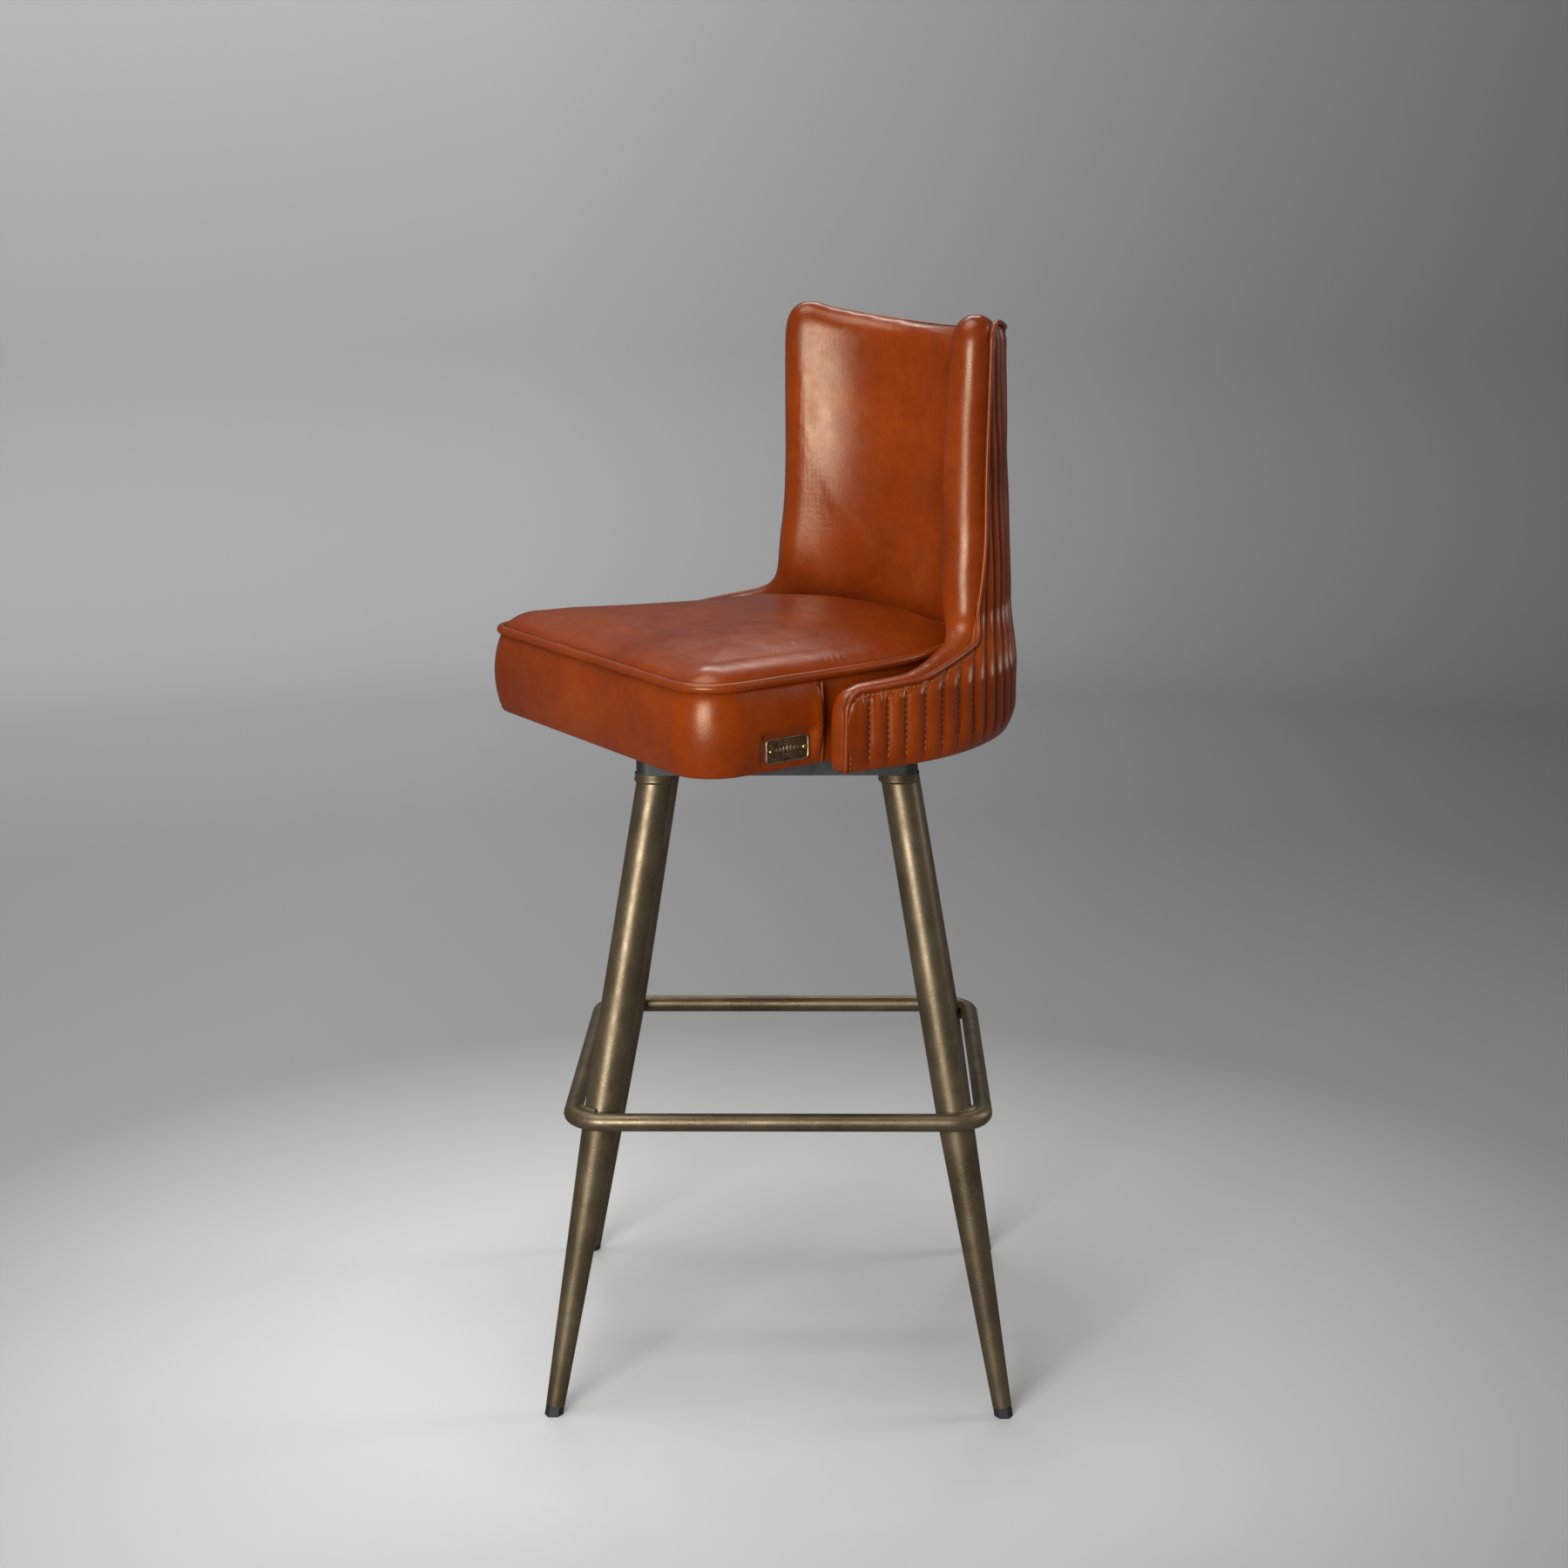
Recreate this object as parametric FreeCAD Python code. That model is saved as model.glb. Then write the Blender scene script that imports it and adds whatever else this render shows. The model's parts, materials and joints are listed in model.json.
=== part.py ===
import FreeCAD, Part
import math
import os

# A bar stool: four splayed tapered steel legs tied by a bent footrest ring, and an
# upholstered seat with a wrap-round back that swivels on a ball bearing.
# Millimetres, +Z up. The origin is on the swivel axis at floor level, and the leg
# frame's sides lie along X and Y. Seat pieces are drawn in a seat frame that faces +X
# and are then turned by SEAT_YAW about Z.

Vector = FreeCAD.Vector

# ---- driving dimensions ------------------------------------------------------------

SEAT_YAW = 211.7             # degrees from +X to the way the seat faces at rest

# Leg frame
FOOT_SPACING = 480.0         # between leg axes at the floor, both ways
LEG_SPLAY = 0.1658           # sideways travel of a leg axis per unit of height, in X and in Y
LEG_RADIUS = 19.0
LEG_FOOT_RADIUS = 10.0
LEG_WALL = 1.5
GLIDE_HEIGHT = 10.0          # axis height of the tube's lower end
FOOTREST_HEIGHT = 320.0
FOOTREST_RADIUS = 9.5
FOOTREST_WALL = 1.5
FOOTREST_BEND = 36.0         # radius of the ring's bends, at the tube's centre line
LEG_TOP = 672.0
PAD_THICKNESS = 6.0
PAD_RADIUS = 21.5

# Mounting pan and swivel
PAN_SIZE = 296.0
PAN_PLATE = 4.0
PAN_RIM_HEIGHT = 16.0
PAN_RIM_WALL = 3.0
PLATE_SIZE = 200.0
PLATE_THICKNESS = 3.0
LOWER_BOLT_OFFSET = 85.0
UPPER_BOLT_OFFSET = 75.0
RACE_PITCH_RADIUS = 57.0
RACE_HALF_WIDTH = 7.0
RACE_HEIGHT = 9.5
RACE_GAP = 4.0
BALL_RADIUS = 4.0
BALL_COUNT = 20
RUNNING_CLEARANCE = 0.05
PIVOT_RADIUS = 8.0
BOLT_RADIUS = 4.0            # M8 throughout
BOLT_HEAD_WIDTH = 13.0
BOLT_HEAD_HEIGHT = 5.3

# Seat cushion
BOARD_THICKNESS = 12.0
SEAT_FRONT = 238.0           # swivel axis to the front edge
SEAT_CORNER_RADIUS = 45.0
SEAT_SMALLEST_CORNER = 16.0
SEAT_FRONT_HALF_WIDTH = 242.0
SEAT_REAR_RADIUS = 212.0
SEAT_REAR_CENTRE = 22.0
BOXING_BOTTOM = 709.0
CUSHION_EDGE_TOP = 798.0
LEATHER = 3.0
SOFT_GAP = 0.4               # air between soft pieces
PIPING_RADIUS = 4.5
CROWN = [(4.0, 0.0), (14.0, 12.0), (35.0, 21.0), (80.0, 26.0)]   # (inset, rise)

# Back shell, outermost surface: wide at the hips, narrower at the waist and wings
HIP_RADIUS = 280.0
WAIST_RADIUS = 218.5
TOP_RADIUS = 236.0
BACK_AT_HIP = 250.0          # swivel axis to the back, at the same three levels
BACK_AT_WAIST = 254.5
BACK_AT_TOP = 238.0
HIP_LEVEL = 780.0
WAIST_LEVEL = 844.0
WING_LEVEL = 950.0
SHELL_TOP = 1150.0
SHELL_LEVELS = [705.0, 780.0, 795.0, 812.0, 828.0, 844.0, 870.0, 900.0, 950.0, 1000.0, 1070.0, 1150.0]
SHELL_FRONT = 110.0
OUTER_PANEL = 7.0            # thickness of the channelled leather and its wadding
PLY_THICKNESS = 10.0
PAD_SIDE_INSET = (40.0, 50.0)    # outer surface to the inner pad's face, at foot and top
PAD_BACK_INSET = (56.0, 38.0)
WELT_WIDTH = 4.0

# Side profiles of the shell: (x, z, corner radius), from the arm's foot up and back
BACK_LIMIT = -330.0
EDGE_PROFILE = [
    (98.0, 600.0, 0.0),
    (94.0, 798.0, 28.0),
    (-6.0, 803.0, 110.0),
    (-101.0, 827.0, 26.0),
    (-112.0, 905.0, 300.0),
    (-118.0, 1149.0, 26.0),
    (BACK_LIMIT, 1110.0, 0.0),
    (BACK_LIMIT, 600.0, 0.0),
]
WELT_PROFILE = [
    (90.0, 600.0, 0.0),
    (86.0, 789.0, 20.0),
    (-10.0, 794.0, 120.0),
    (-118.0, 818.0, 26.0),
    (-139.0, 905.0, 300.0),
    (-145.0, 1145.0, 18.0),
    (BACK_LIMIT, 1107.0, 0.0),
    (BACK_LIMIT, 600.0, 0.0),
]

# Badge on the seat's left side
BADGE_WIDTH = 56.0
BADGE_HEIGHT = 26.0
BADGE_THICKNESS = 2.2
BADGE_CENTRE_X = 128.0
BADGE_CENTRE_Z = 730.5
RIVET_SPACING = 43.5
RIVET_RADIUS = 2.6

# ---- sizes worked out from them ----------------------------------------------------

LEG_STRETCH = math.sqrt(1.0 + 2.0 * LEG_SPLAY ** 2)      # leg length per unit of height
PAN_BOTTOM = LEG_TOP + PAD_THICKNESS
PAN_TOP = PAN_BOTTOM + PAN_PLATE
LOWER_PLATE_TOP = PAN_TOP + PLATE_THICKNESS
LOWER_RACE_TOP = LOWER_PLATE_TOP + RACE_HEIGHT
BALL_CENTRE = LOWER_RACE_TOP + RACE_GAP / 2.0
UPPER_RACE_BOTTOM = LOWER_RACE_TOP + RACE_GAP
UPPER_PLATE_BOTTOM = UPPER_RACE_BOTTOM + RACE_HEIGHT
UPPER_PLATE_TOP = UPPER_PLATE_BOTTOM + PLATE_THICKNESS
BOARD_TOP = UPPER_PLATE_TOP + BOARD_THICKNESS
CORNERS = [(-1, -1), (1, -1), (-1, 1), (1, 1)]
LEG_NAMES = {
    (-1, -1): "front_left",
    (1, -1): "front_right",
    (-1, 1): "rear_left",
    (1, 1): "rear_right",
}
EPS = 0.5                    # cutting tools run this far past the faces they open
UP = Vector(0, 0, 1)


# ---- general helpers ---------------------------------------------------------------

def cylinder(radius, bottom, top, x=0.0, y=0.0):
    return Part.makeCylinder(radius, top - bottom, Vector(x, y, bottom), UP)


def ring(outer, inner, bottom, top):
    return cylinder(outer, bottom, top).cut(cylinder(inner, bottom - EPS, top + EPS))


def hexagon(width, bottom, top, x=0.0, y=0.0):
    """A hexagon prism of this width across its flats."""
    circle = width / math.sqrt(3.0)
    points = []
    for i in range(7):
        angle = math.radians(60.0 * i)
        points.append(Vector(x + circle * math.cos(angle), y + circle * math.sin(angle), bottom))
    return Part.Face(Part.makePolygon(points)).extrude(Vector(0, 0, top - bottom))


def rounded_plate(size_x, size_y, corner, bottom, top):
    """A plate centred on the Z axis with four round upright edges."""
    plate = Part.makeBox(size_x, size_y, top - bottom, Vector(-size_x / 2, -size_y / 2, bottom))
    upright = [edge for edge in plate.Edges if abs(edge.tangentAt(edge.FirstParameter).z) > 0.9]
    return plate.makeFillet(corner, upright)


def turned(shape):
    """Turn a seat piece from the seat frame to its resting place."""
    copy = shape.copy()
    copy.rotate(Vector(0, 0, 0), UP, SEAT_YAW)
    return copy


def rounded_polygon(corners):
    """A closed wire through 2-D corners (x, z, radius) in the plane y = 0."""
    edges = []
    starts = []
    ends = []
    count = len(corners)
    for i in range(count):
        here = Vector(corners[i][0], 0, corners[i][1])
        before = Vector(corners[i - 1][0], 0, corners[i - 1][1])
        after = Vector(corners[(i + 1) % count][0], 0, corners[(i + 1) % count][1])
        back = (before - here).normalize()
        ahead = (after - here).normalize()
        radius = corners[i][2]
        half = back.getAngle(ahead) / 2.0
        reach = radius / math.tan(half)
        starts.append(here + back * reach)
        ends.append(here + ahead * reach)
        if radius > 0.0:
            middle = (back + ahead).normalize()
            nearest = here + middle * (radius / math.sin(half) - radius)
            edges.append(Part.Arc(starts[i], nearest, ends[i]).toShape())
    for i in range(count):
        edges.append(Part.LineSegment(ends[i], starts[(i + 1) % count]).toShape())
    return Part.Wire(Part.__sortEdges__(edges))


def side_prism(profile, inset=0.0):
    """The space between the two sides that a side profile, moved inwards, encloses."""
    wire = rounded_polygon(profile)
    if inset:
        wire = wire.makeOffset2D(-inset)
    width = 700.0
    return Part.Face(wire).extrude(Vector(0, width, 0)).translated(Vector(0, -width / 2, 0))


# ---- leg frame ---------------------------------------------------------------------

def leg_half(height):
    """Distance of a leg axis from the X and Y axes at this height."""
    return FOOT_SPACING / 2.0 - LEG_SPLAY * height


def leg_point(sx, sy, height):
    return Vector(sx * leg_half(height), sy * leg_half(height), height)


def leg_direction(sx, sy):
    return Vector(-sx * LEG_SPLAY, -sy * LEG_SPLAY, 1.0).normalize()


def leg_body(sx, sy, inset, top):
    """A filled leg, this much thinner all round, up to a level top."""
    taper = (FOOTREST_HEIGHT - GLIDE_HEIGHT) * LEG_STRETCH
    straight = (top + 2.0 * LEG_RADIUS - FOOTREST_HEIGHT) * LEG_STRETCH
    axis = leg_direction(sx, sy)
    lower = Part.makeCone(LEG_FOOT_RADIUS - inset, LEG_RADIUS - inset, taper,
                          leg_point(sx, sy, GLIDE_HEIGHT), axis)
    upper = Part.makeCylinder(LEG_RADIUS - inset, straight, leg_point(sx, sy, FOOTREST_HEIGHT), axis)
    above = Part.makeBox(900, 900, 200, Vector(-450, -450, top))
    return lower.fuse(upper).removeSplitter().cut(above)


def leg(sx, sy):
    return leg_body(sx, sy, 0.0, LEG_TOP).cut(leg_body(sx, sy, LEG_WALL, LEG_TOP + EPS))


def leg_top_pads():
    pads = []
    for sx, sy in CORNERS:
        top = leg_point(sx, sy, LEG_TOP)
        pad = cylinder(PAD_RADIUS, LEG_TOP, PAN_BOTTOM, top.x, top.y)
        pads.append(pad.cut(cylinder(BOLT_RADIUS, LEG_TOP - EPS, PAN_BOTTOM + EPS, top.x, top.y)))
    return Part.makeCompound(pads)


def leg_top_welds():
    """A bead in the corner under each pad, round the leg."""
    bead_radius = 3.0
    beads = []
    for sx, sy in CORNERS:
        centre = leg_point(sx, sy, LEG_TOP - 1.0)
        bead = Part.makeTorus(LEG_RADIUS, bead_radius, centre, UP)
        bead = bead.cut(leg_body(sx, sy, 0.0, LEG_TOP))
        bead = bead.cut(Part.makeBox(100, 100, 20, Vector(centre.x - 50, centre.y - 50, LEG_TOP)))
        beads.append(largest(bead))
    return Part.makeCompound(beads)


def largest(shape):
    return max(shape.Solids, key=lambda solid: solid.Volume)


def footrest_half():
    """Half the ring's width, at its centre line, where each leg touches the inside of a bend."""
    reach = (LEG_RADIUS + FOOTREST_RADIUS) * LEG_STRETCH
    return leg_half(FOOTREST_HEIGHT) + FOOTREST_BEND + (reach - FOOTREST_BEND) / math.sqrt(2.0)


def footrest_body(radius):
    """A filled ring: four bars joined by four quarter bends."""
    half = footrest_half()
    straight = half - FOOTREST_BEND
    body = None
    for i in range(4):
        bar = Part.makeCylinder(radius, 2 * straight, Vector(half, -straight, FOOTREST_HEIGHT),
                                Vector(0, 1, 0))
        bend = Part.makeTorus(FOOTREST_BEND, radius, Vector(straight, straight, FOOTREST_HEIGHT), UP,
                              -180, 180, 90)
        piece = bar.fuse(bend)
        piece.rotate(Vector(0, 0, 0), UP, 90.0 * i)
        body = piece if body is None else body.fuse(piece)
    return body.removeSplitter()


def footrest_ring():
    """The hollow ring, with a vent hole under its rear bar, where welding gas leaves."""
    vent_radius = 1.5
    shell = footrest_body(FOOTREST_RADIUS).cut(footrest_body(FOOTREST_RADIUS - FOOTREST_WALL))
    vent = cylinder(vent_radius, FOOTREST_HEIGHT - FOOTREST_RADIUS - EPS, FOOTREST_HEIGHT,
                    0.0, footrest_half())
    return shell.cut(vent)


def disc(radius, x, z):
    circle = Part.Circle(Vector(x, 0, z), Vector(0, 1, 0), radius)
    return Part.Face(Part.Wire([circle.toShape()]))


def footrest_welds():
    """Two beads at each leg, in the corners above and under the bend that runs round it."""
    bead_radius = 4.0
    bead_angle = 50.0
    rise = 7.0
    centre = footrest_half() - FOOTREST_BEND
    post = leg_body(1, 1, 0.0, LEG_TOP)
    beads = []
    for side in (-1, 1):
        section = disc(bead_radius, FOOTREST_BEND - 8.6 - 0.6 * side, side * rise)
        section = section.cut(disc(FOOTREST_RADIUS, FOOTREST_BEND, 0.0))
        bead = section.Faces[0].revolve(Vector(0, 0, 0), UP, bead_angle)
        bead.rotate(Vector(0, 0, 0), UP, 45.0 - bead_angle / 2.0)
        bead.translate(Vector(centre, centre, FOOTREST_HEIGHT))
        bead = largest(bead.cut(post))
        for i in range(4):
            copy = bead.copy()
            copy.rotate(Vector(0, 0, 0), UP, 90.0 * i)
            beads.append(copy)
    return Part.makeCompound(beads)


INSERT_LENGTH = 25.0
STEM_LENGTH = 22.0
GLIDE_WIDTH = 17.0


def leg_end_inserts():
    """Tapped plugs that fill the lower ends of the tubes."""
    inserts = []
    for sx, sy in CORNERS:
        axis = leg_direction(sx, sy)
        foot = leg_point(sx, sy, GLIDE_HEIGHT)
        slope = (LEG_RADIUS - LEG_FOOT_RADIUS) / ((FOOTREST_HEIGHT - GLIDE_HEIGHT) * LEG_STRETCH)
        start = LEG_FOOT_RADIUS - LEG_WALL
        plug = Part.makeCone(start, start + slope * INSERT_LENGTH, INSERT_LENGTH, foot, axis)
        inserts.append(plug.cut(Part.makeCylinder(BOLT_RADIUS, STEM_LENGTH, foot, axis)))
    return Part.makeCompound(inserts)


def glide(sx, sy):
    """A hexagon foot on a screwed stem, its underside level with the floor."""
    foot = leg_point(sx, sy, GLIDE_HEIGHT)
    axis = leg_direction(sx, sy)
    reach = 2.0 * GLIDE_HEIGHT
    head = hexagon(GLIDE_WIDTH, -reach, 0.0)
    head.Placement = FreeCAD.Placement(foot, FreeCAD.Rotation(UP, axis))
    stem = Part.makeCylinder(BOLT_RADIUS, STEM_LENGTH, foot, axis)
    below = Part.makeBox(100, 100, 50, Vector(foot.x - 50, foot.y - 50, -50))
    return head.fuse(stem).cut(below).removeSplitter()


# ---- mounting pan and swivel -------------------------------------------------------

def square_places(offset):
    return [(sx * offset, sy * offset) for sx, sy in CORNERS]


def mounting_pan():
    outer = rounded_plate(PAN_SIZE, PAN_SIZE, 14.0, PAN_BOTTOM, PAN_BOTTOM + PAN_RIM_HEIGHT)
    inner_size = PAN_SIZE - 2.0 * PAN_RIM_WALL
    pan = outer.cut(rounded_plate(inner_size, inner_size, 11.0, PAN_TOP, PAN_TOP + PAN_RIM_HEIGHT))
    for x, y in square_places(leg_half(LEG_TOP)):
        pan = pan.cut(cylinder(BOLT_RADIUS + 0.5, PAN_BOTTOM - EPS, PAN_TOP + EPS, x, y))
    for x, y in square_places(LOWER_BOLT_OFFSET):
        pan = pan.cut(cylinder(BOLT_RADIUS + 0.5, PAN_BOTTOM - EPS, PAN_TOP + EPS, x, y))
    return pan


def hex_bolt(x, y, seat, tip):
    """A screw whose head stands on the side of seat away from tip."""
    head = BOLT_HEAD_HEIGHT if tip < seat else -BOLT_HEAD_HEIGHT
    bolt = hexagon(BOLT_HEAD_WIDTH, min(seat, seat + head), max(seat, seat + head), x, y)
    return bolt.fuse(cylinder(BOLT_RADIUS, min(seat, tip), max(seat, tip), x, y))


def pan_bolts():
    bolts = [hex_bolt(x, y, PAN_TOP, LEG_TOP - 8.0) for x, y in square_places(leg_half(LEG_TOP))]
    return Part.makeCompound(bolts)


def swivel_lower_plate():
    plate = rounded_plate(PLATE_SIZE, PLATE_SIZE, 10.0, PAN_TOP, LOWER_PLATE_TOP)
    plate = plate.cut(cylinder(PIVOT_RADIUS, PAN_TOP - EPS, LOWER_PLATE_TOP + EPS))
    for x, y in square_places(LOWER_BOLT_OFFSET):
        plate = plate.cut(cylinder(BOLT_RADIUS + 0.5, PAN_TOP - EPS, LOWER_PLATE_TOP + EPS, x, y))
    return plate


def swivel_lower_bolts():
    """Screws down through the plate and the pan, each with its nut under the pan."""
    nut_height = 6.5
    bolts = []
    for x, y in square_places(LOWER_BOLT_OFFSET):
        nut = hexagon(BOLT_HEAD_WIDTH, PAN_BOTTOM - nut_height, PAN_BOTTOM, x, y)
        bolts.append(hex_bolt(x, y, LOWER_PLATE_TOP, PAN_BOTTOM - nut_height - 1.5).fuse(nut))
    return Part.makeCompound(bolts)


def ball_groove():
    return Part.makeTorus(RACE_PITCH_RADIUS, BALL_RADIUS + RUNNING_CLEARANCE, Vector(0, 0, BALL_CENTRE), UP)


def race(bottom, top):
    outer = RACE_PITCH_RADIUS + RACE_HALF_WIDTH
    inner = RACE_PITCH_RADIUS - RACE_HALF_WIDTH
    return ring(outer, inner, bottom, top).cut(ball_groove())


def ball_places():
    places = []
    for i in range(BALL_COUNT):
        angle = 2.0 * math.pi * i / BALL_COUNT
        places.append(Vector(RACE_PITCH_RADIUS * math.cos(angle),
                             RACE_PITCH_RADIUS * math.sin(angle), BALL_CENTRE))
    return places


def bearing_balls():
    return Part.makeCompound([Part.makeSphere(BALL_RADIUS, place) for place in ball_places()])


def ball_cage():
    half_thickness = 1.2
    half_width = RACE_HALF_WIDTH - 1.0
    cage = ring(RACE_PITCH_RADIUS + half_width, RACE_PITCH_RADIUS - half_width,
                BALL_CENTRE - half_thickness, BALL_CENTRE + half_thickness)
    for place in ball_places():
        cage = cage.cut(Part.makeSphere(BALL_RADIUS + RUNNING_CLEARANCE, place))
    return cage


BUSHING_BOTTOM = UPPER_PLATE_BOTTOM - 6.0
BUSHING_TOP = UPPER_PLATE_TOP + 1.0
WASHER_BOTTOM = BUSHING_TOP + 0.2
WASHER_TOP = WASHER_BOTTOM + 2.0
PIVOT_NUT_TOP = WASHER_TOP + 7.0


def pivot_pin():
    """The shaft that keeps the seat on its axis, with a flange welded to the lower plate."""
    flange = cylinder(PIVOT_RADIUS + 6.0, LOWER_PLATE_TOP, LOWER_PLATE_TOP + 3.0)
    return cylinder(PIVOT_RADIUS, PAN_TOP, PIVOT_NUT_TOP).fuse(flange)


def pivot_washer():
    return ring(PIVOT_RADIUS + 8.0, PIVOT_RADIUS, WASHER_BOTTOM, WASHER_TOP)


def pivot_nut():
    nut = hexagon(24.0, WASHER_TOP, PIVOT_NUT_TOP)
    return nut.cut(cylinder(PIVOT_RADIUS, WASHER_TOP - EPS, PIVOT_NUT_TOP + EPS))


def pivot_bushing():
    bore = PIVOT_RADIUS + RUNNING_CLEARANCE
    sleeve = ring(PIVOT_RADIUS + 4.0, bore, BUSHING_BOTTOM, UPPER_PLATE_TOP)
    return sleeve.fuse(ring(PIVOT_RADIUS + 7.0, bore, UPPER_PLATE_TOP, BUSHING_TOP)).removeSplitter()


def swivel_upper_plate():
    plate = rounded_plate(PLATE_SIZE, PLATE_SIZE, 10.0, UPPER_PLATE_BOTTOM, UPPER_PLATE_TOP)
    plate = plate.cut(cylinder(PIVOT_RADIUS + 4.0, UPPER_PLATE_BOTTOM - EPS, UPPER_PLATE_TOP + EPS))
    for x, y in square_places(UPPER_BOLT_OFFSET):
        plate = plate.cut(cylinder(BOLT_RADIUS + 0.5, UPPER_PLATE_BOTTOM - EPS, UPPER_PLATE_TOP + EPS, x, y))
    return plate


TEE_NUT_BARREL = 5.5
TEE_NUT_FLANGE = 10.0
UPPER_BOLT_TIP = BOARD_TOP + 4.0


def swivel_upper_bolts():
    """Screws up through the plate into the seat board."""
    bolts = [hex_bolt(x, y, UPPER_PLATE_BOTTOM, UPPER_BOLT_TIP) for x, y in square_places(UPPER_BOLT_OFFSET)]
    return Part.makeCompound(bolts)


def tee_nuts():
    nuts = []
    for x, y in square_places(UPPER_BOLT_OFFSET):
        nut = cylinder(TEE_NUT_FLANGE, BOARD_TOP, BOARD_TOP + 1.5, x, y)
        nut = nut.fuse(cylinder(TEE_NUT_BARREL, UPPER_PLATE_TOP + 2.0, BOARD_TOP, x, y))
        nuts.append(nut.cut(cylinder(BOLT_RADIUS, UPPER_PLATE_TOP, BOARD_TOP + 2.0, x, y)))
    return Part.makeCompound(nuts)


# ---- seat cushion ------------------------------------------------------------------

def seat_corner(inset):
    """Centre and radius of the left front corner of the cushion's plan."""
    radius = max(SEAT_CORNER_RADIUS - inset, SEAT_SMALLEST_CORNER)
    centre = Vector(SEAT_FRONT - inset - radius, SEAT_FRONT_HALF_WIDTH - inset - radius, 0)
    return centre, radius


def side_angle(inset=0.0):
    """Direction, from +X, of the outward normal of the cushion's straight left side."""
    centre, radius = seat_corner(inset)
    across = centre - Vector(SEAT_REAR_CENTRE, 0, 0)
    spread = math.acos((SEAT_REAR_RADIUS - inset - radius) / across.Length)
    return math.atan2(across.y, across.x) + spread


def seat_outline(inset, height):
    """Plan of the cushion: straight front, round corners, straight sides and round rear."""
    normal = side_angle(inset)
    corner, small = seat_corner(inset)
    large = SEAT_REAR_RADIUS - inset

    def at(centre_x, centre_y, radius, angle):
        return Vector(centre_x + radius * math.cos(angle), centre_y + radius * math.sin(angle), height)

    left_front = at(corner.x, corner.y, small, 0.0)
    left_middle = at(corner.x, corner.y, small, normal / 2.0)
    left_side = at(corner.x, corner.y, small, normal)
    left_rear = at(SEAT_REAR_CENTRE, 0.0, large, normal)
    rear = at(SEAT_REAR_CENTRE, 0.0, large, math.pi)

    def mirror(point):
        return Vector(point.x, -point.y, point.z)

    edges = [
        Part.LineSegment(mirror(left_front), left_front).toShape(),
        Part.Arc(left_front, left_middle, left_side).toShape(),
        Part.LineSegment(left_side, left_rear).toShape(),
        Part.Arc(left_rear, rear, mirror(left_rear)).toShape(),
        Part.LineSegment(mirror(left_rear), mirror(left_side)).toShape(),
        Part.Arc(mirror(left_side), mirror(left_middle), mirror(left_front)).toShape(),
    ]
    return Part.Wire(edges)


def seat_slab(inset, bottom, top):
    return Part.Face(seat_outline(inset, bottom)).extrude(Vector(0, 0, top - bottom))


def crown_body(lift):
    """The domed top of the cushion, raised by lift."""
    wires = [seat_outline(inset, CUSHION_EDGE_TOP + rise + lift) for inset, rise in CROWN]
    return Part.makeLoft(wires, True, True)


def rear_reach(inset, bottom, top, front):
    """A slab behind front that reaches out from under the cushion to the moulded shell."""
    section = shell_outline(bottom, inset, inset)
    slab = Part.Face(section).extrude(Vector(0, 0, top - bottom))
    return slab.cut(Part.makeBox(300, 700, 100, Vector(front, -350, bottom - 50)))


def board_reach(bottom=UPPER_PLATE_TOP):
    return rear_reach(OUTER_PANEL + PLY_THICKNESS, bottom, BOARD_TOP, 60.0)


def seat_board():
    board = seat_slab(LEATHER, UPPER_PLATE_TOP, BOARD_TOP).fuse(board_reach()).removeSplitter()
    board = board.cut(cylinder(PIVOT_RADIUS + 12.0, UPPER_PLATE_TOP - EPS, BOARD_TOP + EPS))
    for x, y in square_places(UPPER_BOLT_OFFSET):
        board = board.cut(cylinder(TEE_NUT_BARREL, UPPER_PLATE_TOP - EPS, BOARD_TOP + EPS, x, y))
    for screw in shell_screw_list():
        board = board.cut(screw)
    return board


def seat_foam():
    inset = LEATHER + SOFT_GAP
    bottom = BOARD_TOP + SOFT_GAP
    foam = seat_slab(inset, bottom, CUSHION_EDGE_TOP).fuse(crown_body(0.0)).removeSplitter()
    for x, y in square_places(UPPER_BOLT_OFFSET):
        foam = foam.cut(cylinder(TEE_NUT_FLANGE + 1.0, BOARD_TOP, UPPER_BOLT_TIP + 2.0, x, y))
    return foam


def seat_top_panel():
    """The smooth leather over the domed foam."""
    panel = crown_body(LEATHER)
    panel = panel.cut(crown_body(SOFT_GAP))
    below = seat_slab(0.0, CUSHION_EDGE_TOP - 20.0, CUSHION_EDGE_TOP + SOFT_GAP)
    return largest(panel.cut(below))


def seat_boxing():
    """The leather band round the cushion's sides, from under the board to the piping."""
    band = seat_slab(0.0, BOXING_BOTTOM, CUSHION_EDGE_TOP - PIPING_RADIUS)
    band = band.cut(seat_slab(LEATHER, BOXING_BOTTOM - EPS, CUSHION_EDGE_TOP))
    return largest(band.cut(board_reach(BOXING_BOTTOM - EPS)))


def seat_piping():
    """A round cord along the cushion's top edge."""
    centre = PIPING_RADIUS - 2.0
    path = seat_outline(centre, CUSHION_EDGE_TOP)
    start = path.Edges[0].Vertexes[0].Point
    circle = Part.Circle(Vector(start.x, start.y, start.z), Vector(0, 1, 0), PIPING_RADIUS)
    cord = path.makePipeShell([Part.Wire([circle.toShape()])], True, False)
    inside = seat_slab(LEATHER, BOARD_TOP, CUSHION_EDGE_TOP + LEATHER)
    return largest(cord.cut(inside).cut(crown_body(LEATHER)))


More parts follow.
